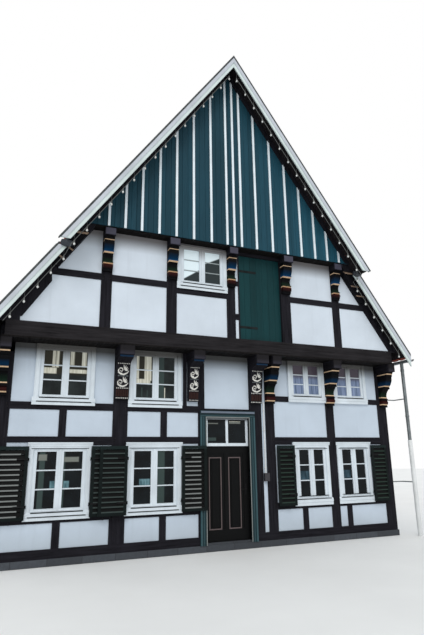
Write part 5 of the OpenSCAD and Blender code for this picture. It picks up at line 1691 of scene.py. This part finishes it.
class HOUSE_OT_rainwater(bpy.types.Operator):
    """Put brackets under the gutters, collars on the downpipes and clips on the conduit"""

    bl_idname = "house.rainwater"
    bl_label = "Rainwater"

    def execute(self, context):
        low, high = solids("gutters")[1]
        middle = (low.x + high.x) / 2
        inner = (high.x - low.x) / 2 + 0.003
        outer = inner + 0.005
        half_w = 0.014
        arc = 10
        rings = []
        for k in range(arc + 1):
            angle = math.pi * (1 + k / arc)
            rings.append([Vector((r * math.cos(angle), y, r * math.sin(angle))) for r, y in
                          ((inner, -half_w), (outer, -half_w), (outer, half_w), (inner, half_w))])
        bracket = bmesh.new()
        loft_into(bracket, rings)
        step = sizes().bracket_step
        steps = int((high.y - low.y - 0.3) / step)
        brackets = [(side * middle, low.y + 0.15 + k * step, high.z)
                    for side in (1, -1) for k in range(steps + 1)]
        scatter("gutter_brackets", bracket, as_made(brackets), "zinc")
        ring = bmesh.new()
        tube_into(ring, [(0, 0, 0), (0, 0, 0.006), (0, 0, 0.054), (0, 0, 0.06)],
                  [0.043, 0.047, 0.047, 0.043], 24)
        pipe_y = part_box("downpipes")[0].y + 0.042
        collars = [(side * middle, pipe_y, z) for side in (1, -1) for z in COLLARS_Z]
        scatter("pipe_collars", ring, as_made(collars), "zinc", smooth=True)
        foot = bmesh.new()
        for side in (1, -1):
            line = [(side * middle, pipe_y, z) for z in (0.0, 0.004, WHITE_TOP_Z - 0.01, WHITE_TOP_Z)]
            tube_into(foot, line, [0.05, 0.052, 0.052, 0.045], 24)
        fit(foot, "pipe_feet", "plastic", smooth=True)
        conduit_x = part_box("wall_conduit")[0].x + 0.045
        clip = bmesh.new()
        block_into(clip, (-0.030, -0.004, -0.009), (0.030, 0.001, 0.009), 0.002)
        tube_into(clip, [(-0.018, -0.002, 0), (-0.016, -0.020, 0), (0, -0.033, 0), (0.016, -0.020, 0),
                         (0.018, -0.002, 0)], 0.006, 6)
        clips = [(conduit_x, FRONT_Y, z) for z in CLIPS_Z]
        scatter("conduit_clips", clip, as_made(clips), "plastic")
        return {"FINISHED"}


def peg_places(posts, rails, plane, turn):
    """Two pegs in the post at each end of each rail, on the wall plane."""
    places = []
    post_boxes = solids(posts)
    for low, high in solids(rails):
        for x, way in ((low.x, -1), (high.x, 1)):
            for z_share, reach in ((0.3, 0.045), (0.7, 0.062)):
                px = x + way * reach
                pz = low.z + (high.z - low.z) * z_share
                if any(a.x + 0.03 < px < b.x - 0.03 and a.z < pz < b.z for a, b in post_boxes):
                    places.append(((px, plane, pz), (0, 0.7 * z_share, turn), (1, 1, 1)))
    return places


class HOUSE_OT_pegs(bpy.types.Operator):
    """Drive oak pegs into the joints of the frame"""

    bl_idname = "house.pegs"
    bl_label = "Pegs"

    def execute(self, context):
        r = sizes().peg
        peg = bmesh.new()
        tube_into(peg, [(0, 0.006, 0), (0, -0.006, 0), (0, -0.009, 0)], [r, r, r * 0.7], 7)
        places = peg_places("front_posts", "front_rails", FRONT_Y, 0)
        places += peg_places("rear_posts", "rear_rails", REAR_Y, math.pi)
        places += peg_places("gable_posts", "gable_rails", ATTIC_Y, 0)
        scatter("oak_pegs", peg, places, "beam_x")
        return {"FINISHED"}


# Stage

# The photograph's camera: its place, its yaw, pitch and roll in degrees, its lens and its sensor's width
CAMERA_AT = (-4.632, -15.836, 1.869)
CAMERA_TURN = (23.271, 15.23, -0.714)
LENS_MM = 28.906
SENSOR_MM = 36.0
FLOOR_RADIUS = 60.0
FLOOR_Z = -0.002
WORLD_STRENGTH = 0.85
SUN_STRENGTH = 1.1
SUN_SPREAD = math.radians(28)
SUN_WAY = (0.35, 0.75, -0.75)


class HOUSE_OT_stage(bpy.types.Operator):
    """Set the floor, the light and the camera of the photograph"""

    bl_idname = "house.stage"
    bl_label = "Stage"

    def execute(self, context):
        floor = bmesh.new()
        bmesh.ops.create_circle(floor, cap_ends=True, segments=64, radius=FLOOR_RADIUS)
        material, tree, shader = start_material("pale_floor", 0.9)
        speck = noise(tree, place_on(tree), 0.6, 3.0)
        tone = mix(tree, spread(tree, speck, 0.3, 0.7), (0.80, 0.80, 0.79), (0.84, 0.84, 0.83))
        tree.links.new(tone, shader.inputs["Base Color"])
        data = bpy.data.meshes.new("floor")
        floor.to_mesh(data)
        floor.free()
        data.materials.append(material)
        thing = bpy.data.objects.new("floor", data)
        thing.location.z = FLOOR_Z
        context.scene.collection.objects.link(thing)

        world = bpy.data.worlds.new("studio")
        context.scene.world = world
        world.use_nodes = True
        tree = world.node_tree
        tree.nodes.clear()
        paths = add(tree, "ShaderNodeLightPath").outputs
        seen_white = maths(tree, "MAXIMUM", paths["Is Camera Ray"], paths["Is Glossy Ray"])
        seen_white = maths(tree, "MAXIMUM", seen_white, paths["Is Transmission Ray"])
        soft = add(tree, "ShaderNodeBackground",
                   {"Color": (0.93, 0.97, 1.0, 1.0), "Strength": WORLD_STRENGTH})
        white = add(tree, "ShaderNodeBackground", {"Color": (1.0, 1.0, 1.0, 1.0), "Strength": 1.0})
        both = add(tree, "ShaderNodeMixShader", {0: seen_white, 1: soft.outputs[0], 2: white.outputs[0]})
        sink = add(tree, "ShaderNodeOutputWorld")
        tree.links.new(both.outputs[0], sink.inputs["Surface"])

        sun = bpy.data.lights.new("key", "SUN")
        sun.energy = SUN_STRENGTH
        sun.angle = SUN_SPREAD
        sun.color = (1.0, 0.98, 0.95)
        lamp = bpy.data.objects.new("key", sun)
        lamp.rotation_euler = Vector(SUN_WAY).to_track_quat("-Z", "Y").to_euler()
        context.scene.collection.objects.link(lamp)

        camera = bpy.data.cameras.new("camera")
        camera.lens = LENS_MM
        camera.sensor_width = SENSOR_MM
        camera.clip_end = 500.0
        yaw, pitch, roll = (math.radians(a) for a in CAMERA_TURN)
        flat = math.cos(pitch)
        forward = Vector((math.sin(yaw) * flat, math.cos(yaw) * flat, math.sin(pitch)))
        right = Vector((math.cos(yaw), -math.sin(yaw), 0))
        up = right.cross(forward)
        rolled_right = right * math.cos(roll) + up * math.sin(roll)
        rolled_up = up * math.cos(roll) - right * math.sin(roll)
        holder = bpy.data.objects.new("camera", camera)
        matrix = Matrix((rolled_right, rolled_up, -forward)).transposed().to_4x4()
        matrix.translation = Vector(CAMERA_AT)
        holder.matrix_world = matrix
        context.scene.collection.objects.link(holder)
        context.scene.camera = holder
        context.scene.view_settings.view_transform = "Standard"
        return {"FINISHED"}


# The add-on's panel and the run

PIECES = [HOUSE_OT_finishes, HOUSE_OT_roof_tiles, HOUSE_OT_ridge, HOUSE_OT_cladding, HOUSE_OT_glazing_bars,
          HOUSE_OT_sash_trim, HOUSE_OT_window_shadow_lines, HOUSE_OT_beam_ends, HOUSE_OT_carving,
          HOUSE_OT_barge_caps, HOUSE_OT_bulb_string, HOUSE_OT_loft_door, HOUSE_OT_front_door,
          HOUSE_OT_shutter_trim, HOUSE_OT_verge_rolls, HOUSE_OT_rainwater, HOUSE_OT_pegs, HOUSE_OT_stage]


class HOUSE_PT_house(bpy.types.Panel):
    """Lists the sizes, the colours and the pieces of the house"""

    bl_label = "House"
    bl_idname = "HOUSE_PT_house"
    bl_space_type = "VIEW_3D"
    bl_region_type = "UI"
    bl_category = "House"

    def draw(self, context):
        for group in (context.scene.house_sizes, context.scene.house_colours):
            box = self.layout.box()
            for key in group.bl_rna.properties.keys():
                if key not in ("rna_type", "name"):
                    box.prop(group, key)
        for piece in PIECES:
            self.layout.operator(piece.bl_idname)


CLASSES = [HouseSizes, HouseColours, *PIECES, HOUSE_PT_house]


def register():
    for cls in CLASSES:
        bpy.utils.register_class(cls)
    bpy.types.Scene.house_sizes = bpy.props.PointerProperty(type=HouseSizes)
    bpy.types.Scene.house_colours = bpy.props.PointerProperty(type=HouseColours)


def unregister():
    del bpy.types.Scene.house_colours
    del bpy.types.Scene.house_sizes
    for cls in reversed(CLASSES):
        bpy.utils.unregister_class(cls)


def main():
    register()
    for piece in PIECES:
        group, name = piece.bl_idname.split(".")
        getattr(getattr(bpy.ops, group), name)()


if __name__ == "__main__":
    main()
